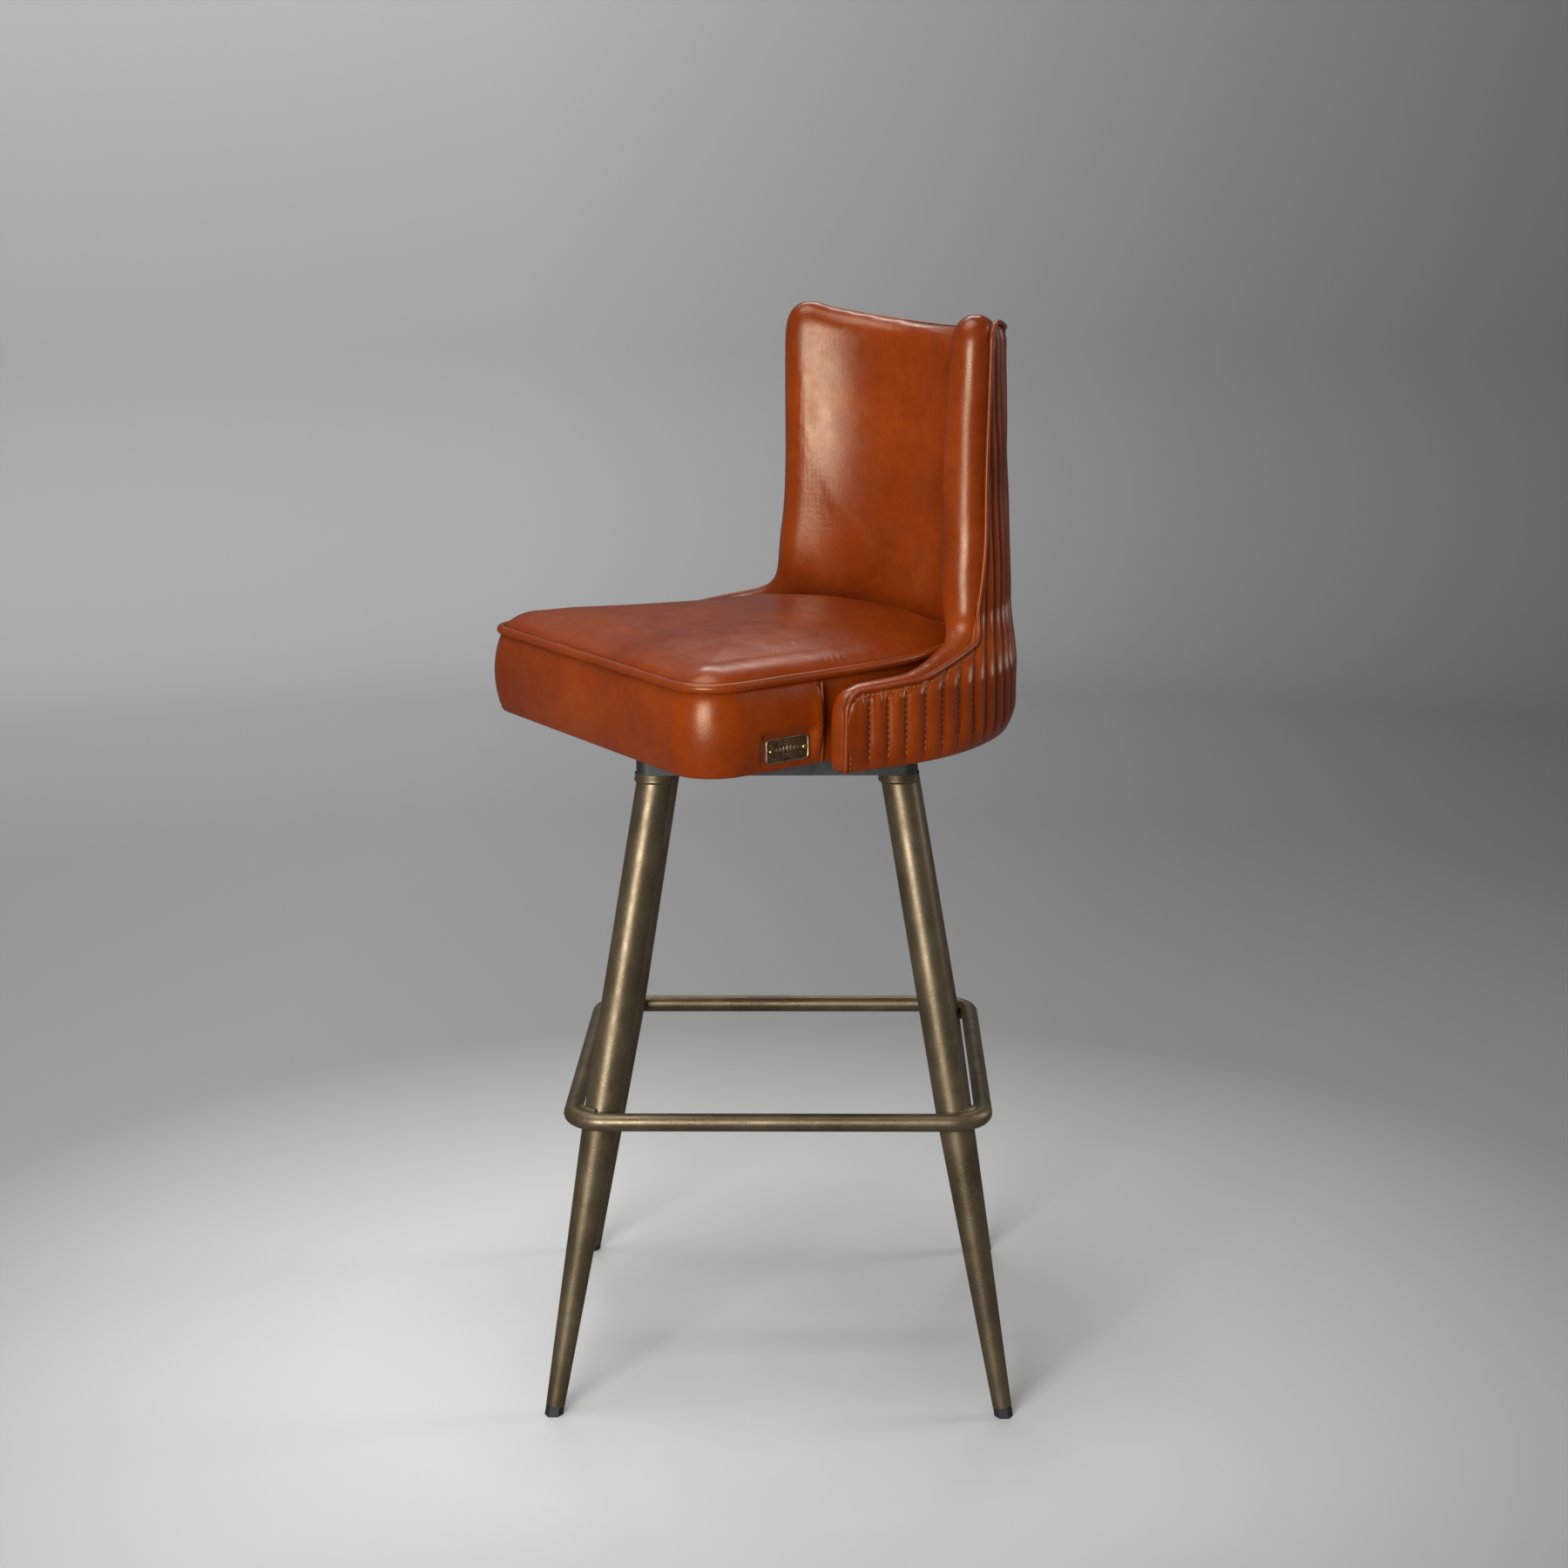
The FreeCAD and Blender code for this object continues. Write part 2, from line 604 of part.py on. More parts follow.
def dust_cover():
    """Black cloth stapled under the board, open round the swivel's upper plate."""
    bottom = BOXING_BOTTOM + 0.4
    top = UPPER_PLATE_TOP - SOFT_GAP
    hole = PLATE_SIZE + 6.0
    rear = rear_reach(OUTER_PANEL + PLY_THICKNESS, bottom, top, 60.0)
    cover = seat_slab(LEATHER + 1.0, bottom, top).fuse(rear).removeSplitter()
    return cover.cut(rounded_plate(hole, hole, 12.0, bottom - EPS, top + EPS))


# ---- back shell --------------------------------------------------------------------

def smooth_step(value, start, end):
    share = min(max((value - start) / (end - start), 0.0), 1.0)
    return share * share * (3.0 - 2.0 * share)


def shell_radius(height):
    waist = HIP_RADIUS + (WAIST_RADIUS - HIP_RADIUS) * smooth_step(height, HIP_LEVEL, WAIST_LEVEL)
    return waist + (TOP_RADIUS - WAIST_RADIUS) * smooth_step(height, WING_LEVEL, SHELL_TOP)


def shell_back(height):
    waist = BACK_AT_HIP + (BACK_AT_WAIST - BACK_AT_HIP) * smooth_step(height, HIP_LEVEL, WAIST_LEVEL)
    return waist + (BACK_AT_TOP - BACK_AT_WAIST) * smooth_step(height, WAIST_LEVEL, SHELL_TOP)


def shell_outline(height, side_inset, back_inset):
    """Plan of the shell at one height: a round back whose two sides run straight forward."""
    radius = shell_radius(height) - side_inset
    back = shell_back(height) - back_inset
    centre = radius - back
    left_front = Vector(SHELL_FRONT, radius, height)
    left_side = Vector(centre, radius, height)
    rear = Vector(-back, 0, height)
    right_side = Vector(centre, -radius, height)
    right_front = Vector(SHELL_FRONT, -radius, height)
    return Part.Wire([
        Part.LineSegment(left_front, left_side).toShape(),
        Part.Arc(left_side, rear, right_side).toShape(),
        Part.LineSegment(right_side, right_front).toShape(),
        Part.LineSegment(right_front, left_front).toShape(),
    ])


def shell_body(side_insets, back_insets):
    """The filled shell inside the outermost surface, by insets at its foot and its top."""
    wires = []
    for level in SHELL_LEVELS:
        share = (level - SHELL_LEVELS[0]) / (SHELL_TOP - SHELL_LEVELS[0])
        side = side_insets[0] + share * (side_insets[1] - side_insets[0])
        back = back_insets[0] + share * (back_insets[1] - back_insets[0])
        wires.append(shell_outline(level, side, back))
    return Part.makeLoft(wires, True, True)


def even_body(inset):
    return shell_body((inset, inset), (inset, inset))


def above(height):
    """Everything above this height."""
    return Part.makeBox(1200, 1200, 800, Vector(-600, -600, height))


def back_outer_panel():
    """The leather with sewn channels, outside the moulded shell."""
    wall = even_body(0.0).cut(even_body(OUTER_PANEL - SOFT_GAP))
    return largest(wall.common(side_prism(WELT_PROFILE)).common(above(BOXING_BOTTOM)))


def back_shell():
    """The moulded plywood that carries the back, screwed round the board's edge."""
    wall = even_body(OUTER_PANEL).cut(even_body(OUTER_PANEL + PLY_THICKNESS))
    shell = largest(wall.common(side_prism(WELT_PROFILE, SOFT_GAP)).common(above(UPPER_PLATE_TOP)))
    for screw in shell_screw_list():
        shell = shell.cut(screw)
    return shell


def back_inner_pad():
    """The foam inside the shell and its smooth leather, above the board."""
    wall = even_body(OUTER_PANEL + PLY_THICKNESS + SOFT_GAP).cut(shell_body(PAD_SIDE_INSET, PAD_BACK_INSET))
    pad = wall.common(side_prism(WELT_PROFILE, SOFT_GAP)).common(above(BOARD_TOP + SOFT_GAP))
    return largest(pad)


def back_edge_roll():
    """The padded roll along the front and top edge of the shell."""
    wall = even_body(0.0).cut(shell_body(PAD_SIDE_INSET, PAD_BACK_INSET))
    strip = wall.common(side_prism(EDGE_PROFILE)).common(above(BOXING_BOTTOM))
    return largest(strip.cut(side_prism(WELT_PROFILE)))


def back_edge_welt():
    """The thin welt that stands out of the seam between the roll and the outer panel."""
    stand = 1.5
    wall = even_body(-stand).cut(even_body(-0.1))
    strip = wall.common(side_prism(WELT_PROFILE)).common(above(BOXING_BOTTOM))
    return largest(strip.cut(side_prism(WELT_PROFILE, WELT_WIDTH)))


SHELL_SCREW_ANGLES = (-75.0, -50.0, -25.0, 0.0, 25.0, 50.0, 75.0)


def shell_screw_list():
    """Screws through the moulded shell into the board's edge, their heads sunk flush."""
    outer_radius = HIP_RADIUS - OUTER_PANEL
    centre = HIP_RADIUS - BACK_AT_HIP
    height = UPPER_PLATE_TOP + BOARD_THICKNESS / 2.0
    length = 36.0
    sink = 1.0
    screws = []
    for degrees in SHELL_SCREW_ANGLES:
        angle = math.radians(180.0 - degrees)
        inward = Vector(-math.cos(angle), -math.sin(angle), 0)
        start = Vector(centre, 0, height) - inward * (outer_radius - sink)
        screw = Part.makeCone(4.5, 2.25, 3.0, start, inward)
        screws.append(screw.fuse(Part.makeCylinder(2.25, length, start, inward)).removeSplitter())
    return screws


def shell_screws():
    return Part.makeCompound(shell_screw_list())


# ---- badge -------------------------------------------------------------------------

def on_left_side(shape, x, z):
    """Move a shape from its own frame (X along, Y up, Z out) onto the seat's left side."""
    normal_angle = side_angle()
    normal = Vector(math.cos(normal_angle), math.sin(normal_angle), 0)
    along = Vector(-math.sin(normal_angle), math.cos(normal_angle), 0)
    rear = Vector(SEAT_REAR_CENTRE, 0, 0) + normal * SEAT_REAR_RADIUS
    place = rear + along * ((x - rear.x) / along.x)
    matrix = FreeCAD.Matrix(along.x, 0, normal.x, place.x,
                            along.y, 0, normal.y, place.y,
                            0, 1, 0, z,
                            0, 0, 0, 1)
    return shape.transformGeometry(matrix)


def badge_blank(grow, thickness):
    corner = 5.0
    return rounded_plate(BADGE_WIDTH + grow, BADGE_HEIGHT + grow, corner + grow / 2.0, 0.0, thickness)


def badge_plate():
    """A plain plate with a raised rim and two holes for its rivets."""
    rim = 2.4
    floor_thickness = 1.4
    plate = badge_blank(0.0, BADGE_THICKNESS)
    recess = badge_blank(-2.0 * rim, BADGE_THICKNESS).translated(Vector(0, 0, floor_thickness))
    plate = plate.cut(recess)
    for side in (-1, 1):
        hole = Part.makeCylinder(1.2, 4.0, Vector(side * RIVET_SPACING / 2.0, 0, -1.0), UP)
        plate = plate.cut(hole)
    return on_left_side(plate, BADGE_CENTRE_X, BADGE_CENTRE_Z)


def badge_rivets():
    """Domed rivets, their shanks through the plate."""
    floor_thickness = 1.4
    rivets = []
    for side in (-1, 1):
        x = side * RIVET_SPACING / 2.0
        dome = Part.makeSphere(RIVET_RADIUS, Vector(x, 0, floor_thickness), UP, 0, 90, 360)
        rivets.append(dome.fuse(Part.makeCylinder(1.2, floor_thickness, Vector(x, 0, 0), UP)))
    return on_left_side(Part.makeCompound(rivets), BADGE_CENTRE_X, BADGE_CENTRE_Z)


# ---- writing the pieces ------------------------------------------------------------

def still_pieces():
    pieces = {}
    for sx, sy in CORNERS:
        name = LEG_NAMES[(sx, sy)]
        pieces["leg_" + name] = leg(sx, sy)
        pieces["glide_" + name] = glide(sx, sy)
    pieces["leg_top_pads"] = leg_top_pads()
    pieces["leg_top_welds"] = leg_top_welds()
    pieces["leg_end_inserts"] = leg_end_inserts()
    pieces["footrest_ring"] = footrest_ring()
    pieces["footrest_welds"] = footrest_welds()
    pieces["mounting_pan"] = mounting_pan()
    pieces["pan_bolts"] = pan_bolts()
    pieces["swivel_lower_plate"] = swivel_lower_plate()
    pieces["swivel_lower_bolts"] = swivel_lower_bolts()
    pieces["swivel_lower_race"] = race(LOWER_PLATE_TOP, LOWER_RACE_TOP)
    pieces["pivot_pin"] = pivot_pin()
    pieces["pivot_washer"] = pivot_washer()
    pieces["pivot_nut"] = pivot_nut()
    pieces["bearing_balls"] = bearing_balls()
    pieces["ball_cage"] = ball_cage()
    return pieces


def turning_pieces():
    return {
        "swivel_upper_race": race(UPPER_RACE_BOTTOM, UPPER_PLATE_BOTTOM),
        "swivel_upper_plate": swivel_upper_plate(),
        "swivel_upper_bolts": swivel_upper_bolts(),
        "pivot_bushing": pivot_bushing(),
        "tee_nuts": tee_nuts(),
        "seat_board": seat_board(),
        "seat_foam": seat_foam(),
        "seat_top_panel": seat_top_panel(),
        "seat_boxing": seat_boxing(),
        "seat_piping": seat_piping(),
        "dust_cover": dust_cover(),
        "back_outer_panel": back_outer_panel(),
        "back_shell": back_shell(),
        "back_inner_pad": back_inner_pad(),
        "back_edge_roll": back_edge_roll(),
        "back_edge_welt": back_edge_welt(),
        "shell_screws": shell_screws(),
        "badge_plate": badge_plate(),
        "badge_rivets": badge_rivets(),
    }


def write(name, shape):
    if not shape.isValid():
        raise RuntimeError(name + " is not a valid shape")
    if not shape.Solids:
        raise RuntimeError(name + " has no solid")
    shape.exportStep("parts/" + name + ".step")
    print(name, len(shape.Solids), "solid(s)", round(shape.Volume / 1000.0, 2), "cm3")


os.makedirs("parts", exist_ok=True)
for piece_name, piece in still_pieces().items():
    write(piece_name, piece)
for piece_name, piece in turning_pieces().items():
    write(piece_name, turned(piece))
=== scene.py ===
import json
import math

import bpy
import numpy as np
from mathutils import Matrix, Vector
from mathutils.kdtree import KDTree


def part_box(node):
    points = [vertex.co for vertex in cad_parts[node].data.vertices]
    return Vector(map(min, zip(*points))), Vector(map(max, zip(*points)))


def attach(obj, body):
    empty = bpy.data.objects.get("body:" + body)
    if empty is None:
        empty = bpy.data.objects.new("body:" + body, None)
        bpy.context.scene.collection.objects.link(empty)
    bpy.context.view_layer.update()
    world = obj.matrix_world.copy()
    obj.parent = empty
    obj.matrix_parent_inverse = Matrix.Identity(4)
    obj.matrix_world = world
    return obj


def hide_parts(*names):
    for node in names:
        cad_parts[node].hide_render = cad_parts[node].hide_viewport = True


# A swivelling bar stool in tan leather on four bronze-coated legs. Metres, +Z up, in the
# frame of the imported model. Seat pieces are drawn facing +X and turned by SEAT_YAW.

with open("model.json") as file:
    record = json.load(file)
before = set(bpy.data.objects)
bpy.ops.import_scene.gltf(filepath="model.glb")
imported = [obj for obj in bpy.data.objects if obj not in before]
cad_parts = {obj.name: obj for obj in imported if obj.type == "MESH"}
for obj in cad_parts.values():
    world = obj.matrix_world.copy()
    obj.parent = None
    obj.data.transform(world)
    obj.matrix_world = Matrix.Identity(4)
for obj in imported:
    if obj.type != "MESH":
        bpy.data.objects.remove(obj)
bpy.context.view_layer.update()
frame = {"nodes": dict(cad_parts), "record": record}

# ---- driving dimensions, from the frame --------------------------------------------

SEAT_YAW = math.radians(211.7)
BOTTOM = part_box("seat_boxing")[0][2]
PIPING_HEIGHT = (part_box("seat_piping")[0][2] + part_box("seat_piping")[1][2]) / 2.0
CROWN_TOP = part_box("seat_top_panel")[1][2] + 0.002

# Cushion plan
SEAT_FRONT = 0.238
SEAT_CORNER = 0.045
SEAT_HALF_WIDTH = 0.242
SEAT_REAR_RADIUS = 0.212
SEAT_REAR_CENTRE = 0.022
PIPING_RADIUS = 0.0050
BOXING_BULGE = 0.0060
BOXING_SEAM = 0.083          # where the side boxing ends, in front of each arm
BADGE_X = 0.128
BADGE_Z = (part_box("badge_plate")[0][2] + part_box("badge_plate")[1][2]) / 2.0
BADGE_HALF_WIDTH = 0.028
BADGE_HALF_HEIGHT = 0.013

# Back shell
HIP_RADIUS = 0.280
WAIST_RADIUS = 0.2185
TOP_RADIUS = 0.236
BACK_AT_HIP = 0.250
BACK_AT_WAIST = 0.2545
BACK_AT_TOP = 0.242
CHANNEL_PITCH = math.radians(5.095)
CHANNEL_COUNT = 19           # stitch lines each side of the middle one
CHANNEL_HEIGHT = 0.0054
NARROW_FROM = 17             # the channels past this one are narrower, toward the arm's front
NARROWING = 0.1
FOOT_SLOPE = 2.8             # the round at the shell's foot is this much taller than deep
WELT_RADIUS = 0.0024
STITCH_RADIUS = 0.00060

# Side view of the welt: (x, z, corner radius), from an arm's foot up and back
WELT_PROFILE = [
    (0.088, BOTTOM, 0.0),
    (0.086, 0.789, 0.020),
    (-0.010, 0.794, 0.120),
    (-0.118, 0.818, 0.026),
    (-0.139, 0.905, 0.300),
    (-0.145, 1.147, 0.018),
    (-0.300, 1.110, 0.0),
]


# ---- numbers -----------------------------------------------------------------------

def smooth_step(t):
    t = np.clip(t, 0.0, 1.0)
    return t * t * (3.0 - 2.0 * t)


def unit(v):
    return v / np.linalg.norm(v, axis=-1, keepdims=True)


def lengths_along(points):
    """Distance from the first point to each point, along the line."""
    steps = np.linalg.norm(np.diff(points, axis=0), axis=1)
    return np.concatenate([[0.0], np.cumsum(steps)])


def resampled(points, step, extra=None):
    """Points evenly spaced along a line; extra columns are carried along."""
    along = lengths_along(points)
    count = max(int(round(along[-1] / step)), 2)
    places = np.linspace(0.0, along[-1], count + 1)
    data = points if extra is None else extra
    return np.stack([np.interp(places, along, data[:, i]) for i in range(data.shape[1])], axis=1)


def rounded_path(corners, arc_points=24):
    """A line through (x, z, radius) corners, each rounded by its radius."""
    points = [np.array(corners[0][:2])]
    for before, here, after in zip(corners, corners[1:], corners[2:]):
        corner = np.array(here[:2])
        back = unit(np.array(before[:2]) - corner)
        ahead = unit(np.array(after[:2]) - corner)
        half = math.acos(np.clip(back @ ahead, -1.0, 1.0)) / 2.0
        reach = here[2] / math.tan(half)
        centre = corner + unit(back + ahead) * here[2] / math.sin(half)
        start = corner + back * reach - centre
        end = corner + ahead * reach - centre
        sweep = math.pi - 2.0 * half
        for t in np.linspace(0.0, 1.0, arc_points):
            mix = (math.sin((1.0 - t) * sweep) * start + math.sin(t * sweep) * end) / math.sin(sweep)
            points.append(centre + mix)
    points.append(np.array(corners[-1][:2]))
    return np.array(points)


def waves(points, scale, seed):
    """A smooth, repeatable, uneven value between about -1 and 1 at each point."""
    source = np.random.default_rng(seed)
    total = np.zeros(len(points))
    for _ in range(6):
        direction = unit(source.normal(size=3))
        total += np.sin(points @ direction * (2.0 * math.pi / scale) * source.uniform(0.6, 1.5)
                        + source.uniform(0.0, 6.28))
    return total / 3.0


# ---- meshes ------------------------------------------------------------------------

def grid_faces(rows, columns, wrap_columns=False):
    """The four-sided faces of a grid of points, in rows."""
    across = columns if wrap_columns else columns - 1
    i, j = np.meshgrid(np.arange(rows - 1), np.arange(across), indexing="ij")
    k = (j + 1) % columns
    here = i * columns
    above = (i + 1) * columns
    return np.stack([here + j, here + k, above + k, above + j], axis=-1).reshape(-1, 4)


def capped_faces(rows, columns):
    """The faces of a tube of rings, with both of its ends closed."""
    first = list(range(columns))
    last = [(rows - 1) * columns + j for j in first]
    return grid_faces(rows, columns, wrap_columns=True).tolist() + [first[::-1], last]


def new_object(name, points, faces, smooth=True):
    mesh = bpy.data.meshes.new(name)
    mesh.from_pydata(np.asarray(points).tolist(), [], [list(map(int, face)) for face in faces])
    mesh.validate()
    mesh.update()
    mesh.polygons.foreach_set("use_smooth", [smooth] * len(mesh.polygons))
    piece = bpy.data.objects.new(name, mesh)
    bpy.context.scene.collection.objects.link(piece)
    return piece


def outward(piece):
    """Make the faces of a closed piece point outwards."""
    bpy.context.view_layer.objects.active = piece
    bpy.ops.object.select_all(action="DESELECT")
    piece.select_set(True)
    bpy.ops.object.mode_set(mode="EDIT")
    bpy.ops.mesh.select_all(action="SELECT")
    bpy.ops.mesh.normals_make_consistent(inside=False)
    bpy.ops.object.mode_set(mode="OBJECT")
    piece.select_set(False)


def apply_modifiers(piece):
    depsgraph = bpy.context.evaluated_depsgraph_get()
    mesh = bpy.data.meshes.new_from_object(piece.evaluated_get(depsgraph))
    piece.modifiers.clear()
    piece.data = mesh


def circles(across, up, sides):
    """Round each pair of directions, the points of a circle of radius 1 with this many sides."""
    angles = np.linspace(0.0, 2.0 * math.pi, sides, endpoint=False)[None, :, None]
    return np.cos(angles) * across[:, None] + np.sin(angles) * up[:, None]


def tube(name, path, radius, sides=12, closed=False, up=(0.0, 0.0, 1.0)):
    """A round cord along a path; radius is one number or one for each point."""
    path = np.asarray(path)
    if closed:
        tangent = unit(np.roll(path, -1, axis=0) - np.roll(path, 1, axis=0))
    else:
        tangent = unit(np.gradient(path, axis=0))
    side = unit(np.cross(tangent, np.broadcast_to(up, path.shape)))
    normal = np.cross(side, tangent)
    radius = np.broadcast_to(radius, len(path))[:, None, None]
    points = (path[:, None] + radius * circles(side, normal, sides)).reshape(-1, 3)
    if not closed:
        return new_object(name, points, capped_faces(len(path), sides))
    faces = grid_faces(len(path), sides, wrap_columns=True).tolist()
    last = (len(path) - 1) * sides
    faces += [[last + j, last + (j + 1) % sides, (j + 1) % sides, j] for j in range(sides)]
    return new_object(name, points, faces)


def stitches(name, centres, directions, normals, length, radius):
    """Short pieces of thread that dip into the leather at both ends."""
    sides = 6
    stations = np.array([-0.5, -0.3, 0.0, 0.3, 0.5])
    lift = np.array([-0.9, 0.25, 0.55, 0.25, -0.9])
    directions = unit(directions)
    normals = unit(normals - np.sum(normals * directions, axis=1, keepdims=True) * directions)
    across = np.cross(directions, normals)
    ring = circles(across, normals, sides)
    rings = []
    for place, height in zip(stations, lift):
        middle = centres + directions * (place * length) + normals * (height * radius)
        rings.append(middle[:, None] + radius * ring)
    points = np.stack(rings, axis=1).reshape(-1, 3)
    one = grid_faces(len(stations), sides, wrap_columns=True)
    per_stitch = len(stations) * sides
    faces = (one[None] + (np.arange(len(centres)) * per_stitch)[:, None, None]).reshape(-1, 4)
    return new_object(name, points, faces)


def joined(name, pieces):
    """One object from several, in the first one's place."""
    bpy.ops.object.select_all(action="DESELECT")
    for piece in pieces:
        piece.select_set(True)
    bpy.context.view_layer.objects.active = pieces[0]
    bpy.ops.object.join()
    pieces[0].name = name
    pieces[0].select_set(False)
    return pieces[0]


# ---- padding -----------------------------------------------------------------------

def points_of(piece):
    flat = np.empty(len(piece.data.vertices) * 3)
    piece.data.vertices.foreach_get("co", flat)
    return flat.reshape(-1, 3)


def place_points(piece, points):
    piece.data.vertices.foreach_set("co", points.reshape(-1))
    piece.data.update()


def eased(mesh, values, rounds):
    """Average each point's value with its neighbours', several times over."""
    ends = np.empty(len(mesh.edges) * 2, dtype=np.int64)
    mesh.edges.foreach_get("vertices", ends)
    ends = np.concatenate([ends.reshape(-1, 2), ends.reshape(-1, 2)[:, ::-1]])
    count = np.maximum(np.bincount(ends[:, 0], minlength=len(values)), 1)
    for _ in range(rounds):
        columns = [np.bincount(ends[:, 0], values[ends[:, 1], k], len(values)) / count for k in range(3)]
        values = 0.5 * values + 0.5 * np.stack(columns, axis=1)
    return values


def swelling(piece, held, voxel, pressure, cap, easing):
    """Draw cloth over a piece, press its filling out, and return where the cloth started
    and how far each point moved. The held function gives 1 where the cloth is sewn down."""
    skin = piece.copy()
    skin.data = piece.data.copy()
    bpy.context.scene.collection.objects.link(skin)
    remesh = skin.modifiers.new("remesh", "REMESH")
    remesh.mode = "VOXEL"
    remesh.voxel_size = voxel
    apply_modifiers(skin)
    start = points_of(skin)
    sewn = skin.vertex_groups.new(name="sewn")
    for index, weight in enumerate(held(start)):
        sewn.add([index], float(weight), "REPLACE")
    cloth = skin.modifiers.new("cloth", "CLOTH")
    cloth.settings.quality = 5
    cloth.settings.mass = 0.4
    cloth.settings.tension_stiffness = 25.0
    cloth.settings.compression_stiffness = 25.0
    cloth.settings.bending_stiffness = 1.0
    cloth.settings.use_pressure = True
    cloth.settings.uniform_pressure_force = pressure
    cloth.settings.effector_weights.gravity = 0.0
    cloth.settings.vertex_group_mass = "sewn"
    frames = 20
    cloth.point_cache.frame_start = 1
    cloth.point_cache.frame_end = frames
    for frame_number in range(1, frames + 1):
        bpy.context.scene.frame_set(frame_number)
    apply_modifiers(skin)
    move = eased(skin.data, points_of(skin) - start, easing)
    bpy.data.objects.remove(skin)
    bpy.context.scene.frame_set(1)
    length = np.linalg.norm(move, axis=1, keepdims=True)
    return start, move * np.minimum(1.0, cap / np.maximum(length, 1e-9))


def plump(piece, held, voxel, pressure, cap, easing):
    """Carry the swelling of simulated cloth over to a finer, panelled mesh."""
    start, move = swelling(piece, held, voxel, pressure, cap, easing)
    tree = KDTree(len(start))
    for index, point in enumerate(start):
        tree.insert(point, index)
    tree.balance()
    points = points_of(piece)
    moved = points.copy()
    neighbours = 6
    for index, point in enumerate(points):
        near = tree.find_n(point, neighbours)
        weights = np.array([1.0 / (distance + 0.001) for _, _, distance in near])
        steps = np.array([move[i] for _, i, _ in near])
        moved[index] += weights @ steps / weights.sum()
    place_points(piece, moved)


# ---- nodes -------------------------------------------------------------------------

class Nodes:
    """A material's node tree, with short calls for the nodes used here."""

    def __init__(self, name):
        self.material = bpy.data.materials.new(name)
        self.material.use_nodes = True
        self.tree = self.material.node_tree
        self.shader = self.tree.nodes["Principled BSDF"]
        coordinates = self.tree.nodes.new("ShaderNodeTexCoord")
        self.place = coordinates.outputs["Object"]

    def link(self, source, target):
        self.tree.links.new(source, target)

    def set(self, **values):
        for key, value in values.items():
            self.shader.inputs[key.replace("_", " ")].default_value = value

    def noise(self, scale, detail=3.0, roughness=0.5, distortion=0.0, place=None):
        node = self.tree.nodes.new("ShaderNodeTexNoise")
        node.inputs["Scale"].default_value = scale
        node.inputs["Detail"].default_value = detail
        node.inputs["Roughness"].default_value = roughness
        node.inputs["Distortion"].default_value = distortion
        self.link(place or self.place, node.inputs["Vector"])
        return node.outputs["Fac"]

    def cells(self, scale, feature="F1", randomness=1.0):
        node = self.tree.nodes.new("ShaderNodeTexVoronoi")
        node.feature = feature
        node.inputs["Scale"].default_value = scale
        node.inputs["Randomness"].default_value = randomness
        self.link(self.place, node.inputs["Vector"])
        return node.outputs["Distance"]

    def stretched(self, x, y, z):
        node = self.tree.nodes.new("ShaderNodeMapping")
        node.inputs["Scale"].default_value = (x, y, z)
        self.link(self.place, node.inputs["Vector"])
        return node.outputs["Vector"]

    def ramp(self, value, stops):
        node = self.tree.nodes.new("ShaderNodeValToRGB")
        elements = node.color_ramp.elements
        while len(elements) < len(stops):
            elements.new(0.5)
        for element, (position, colour) in zip(elements, stops):
            element.position = position
            element.color = (*colour, 1.0)
        self.link(value, node.inputs["Fac"])
        return node.outputs["Color"]

    def distance(self):
        """How far from the piece's origin."""
        node = self.tree.nodes.new("ShaderNodeVectorMath")
        node.operation = "LENGTH"
        self.link(self.place, node.inputs[0])
        return node.outputs["Value"]

    def range(self, value, low, high, from_low=0.0, from_high=1.0):
        """Carry a value from one range over to low to high."""
        node = self.tree.nodes.new("ShaderNodeMapRange")
        node.inputs["From Min"].default_value = from_low
        node.inputs["From Max"].default_value = from_high
        node.inputs["To Min"].default_value = low
        node.inputs["To Max"].default_value = high
        self.link(value, node.inputs["Value"])
        return node.outputs["Result"]

    def mix(self, factor, a, b, blend="MIX"):
        node = self.tree.nodes.new("ShaderNodeMix")
        node.data_type = "RGBA"
        node.blend_type = blend
        for name, value in (("Factor", factor), ("A", a), ("B", b)):
            socket = [s for s in node.inputs if s.name == name and s.enabled][0]
            if isinstance(value, tuple):
                socket.default_value = (*value, 1.0)
            elif isinstance(value, float):
                socket.default_value = value
            else:
                self.link(value, socket)
        return [s for s in node.outputs if s.enabled][0]

    def bump(self, height, distance, strength=1.0, below=None):
        node = self.tree.nodes.new("ShaderNodeBump")
        node.inputs["Strength"].default_value = strength
        node.inputs["Distance"].default_value = distance
        self.link(height, node.inputs["Height"])
        if below is not None:
            self.link(below, node.inputs["Normal"])
        return node.outputs["Normal"]


# ---- materials ---------------------------------------------------------------------

# Linear red, green and blue of the tan leather
LEATHER_DARK = (0.095, 0.0100, 0.0006)
LEATHER_MIDDLE = (0.215, 0.0300, 0.0014)
LEATHER_LIGHT = (0.310, 0.0530, 0.0026)


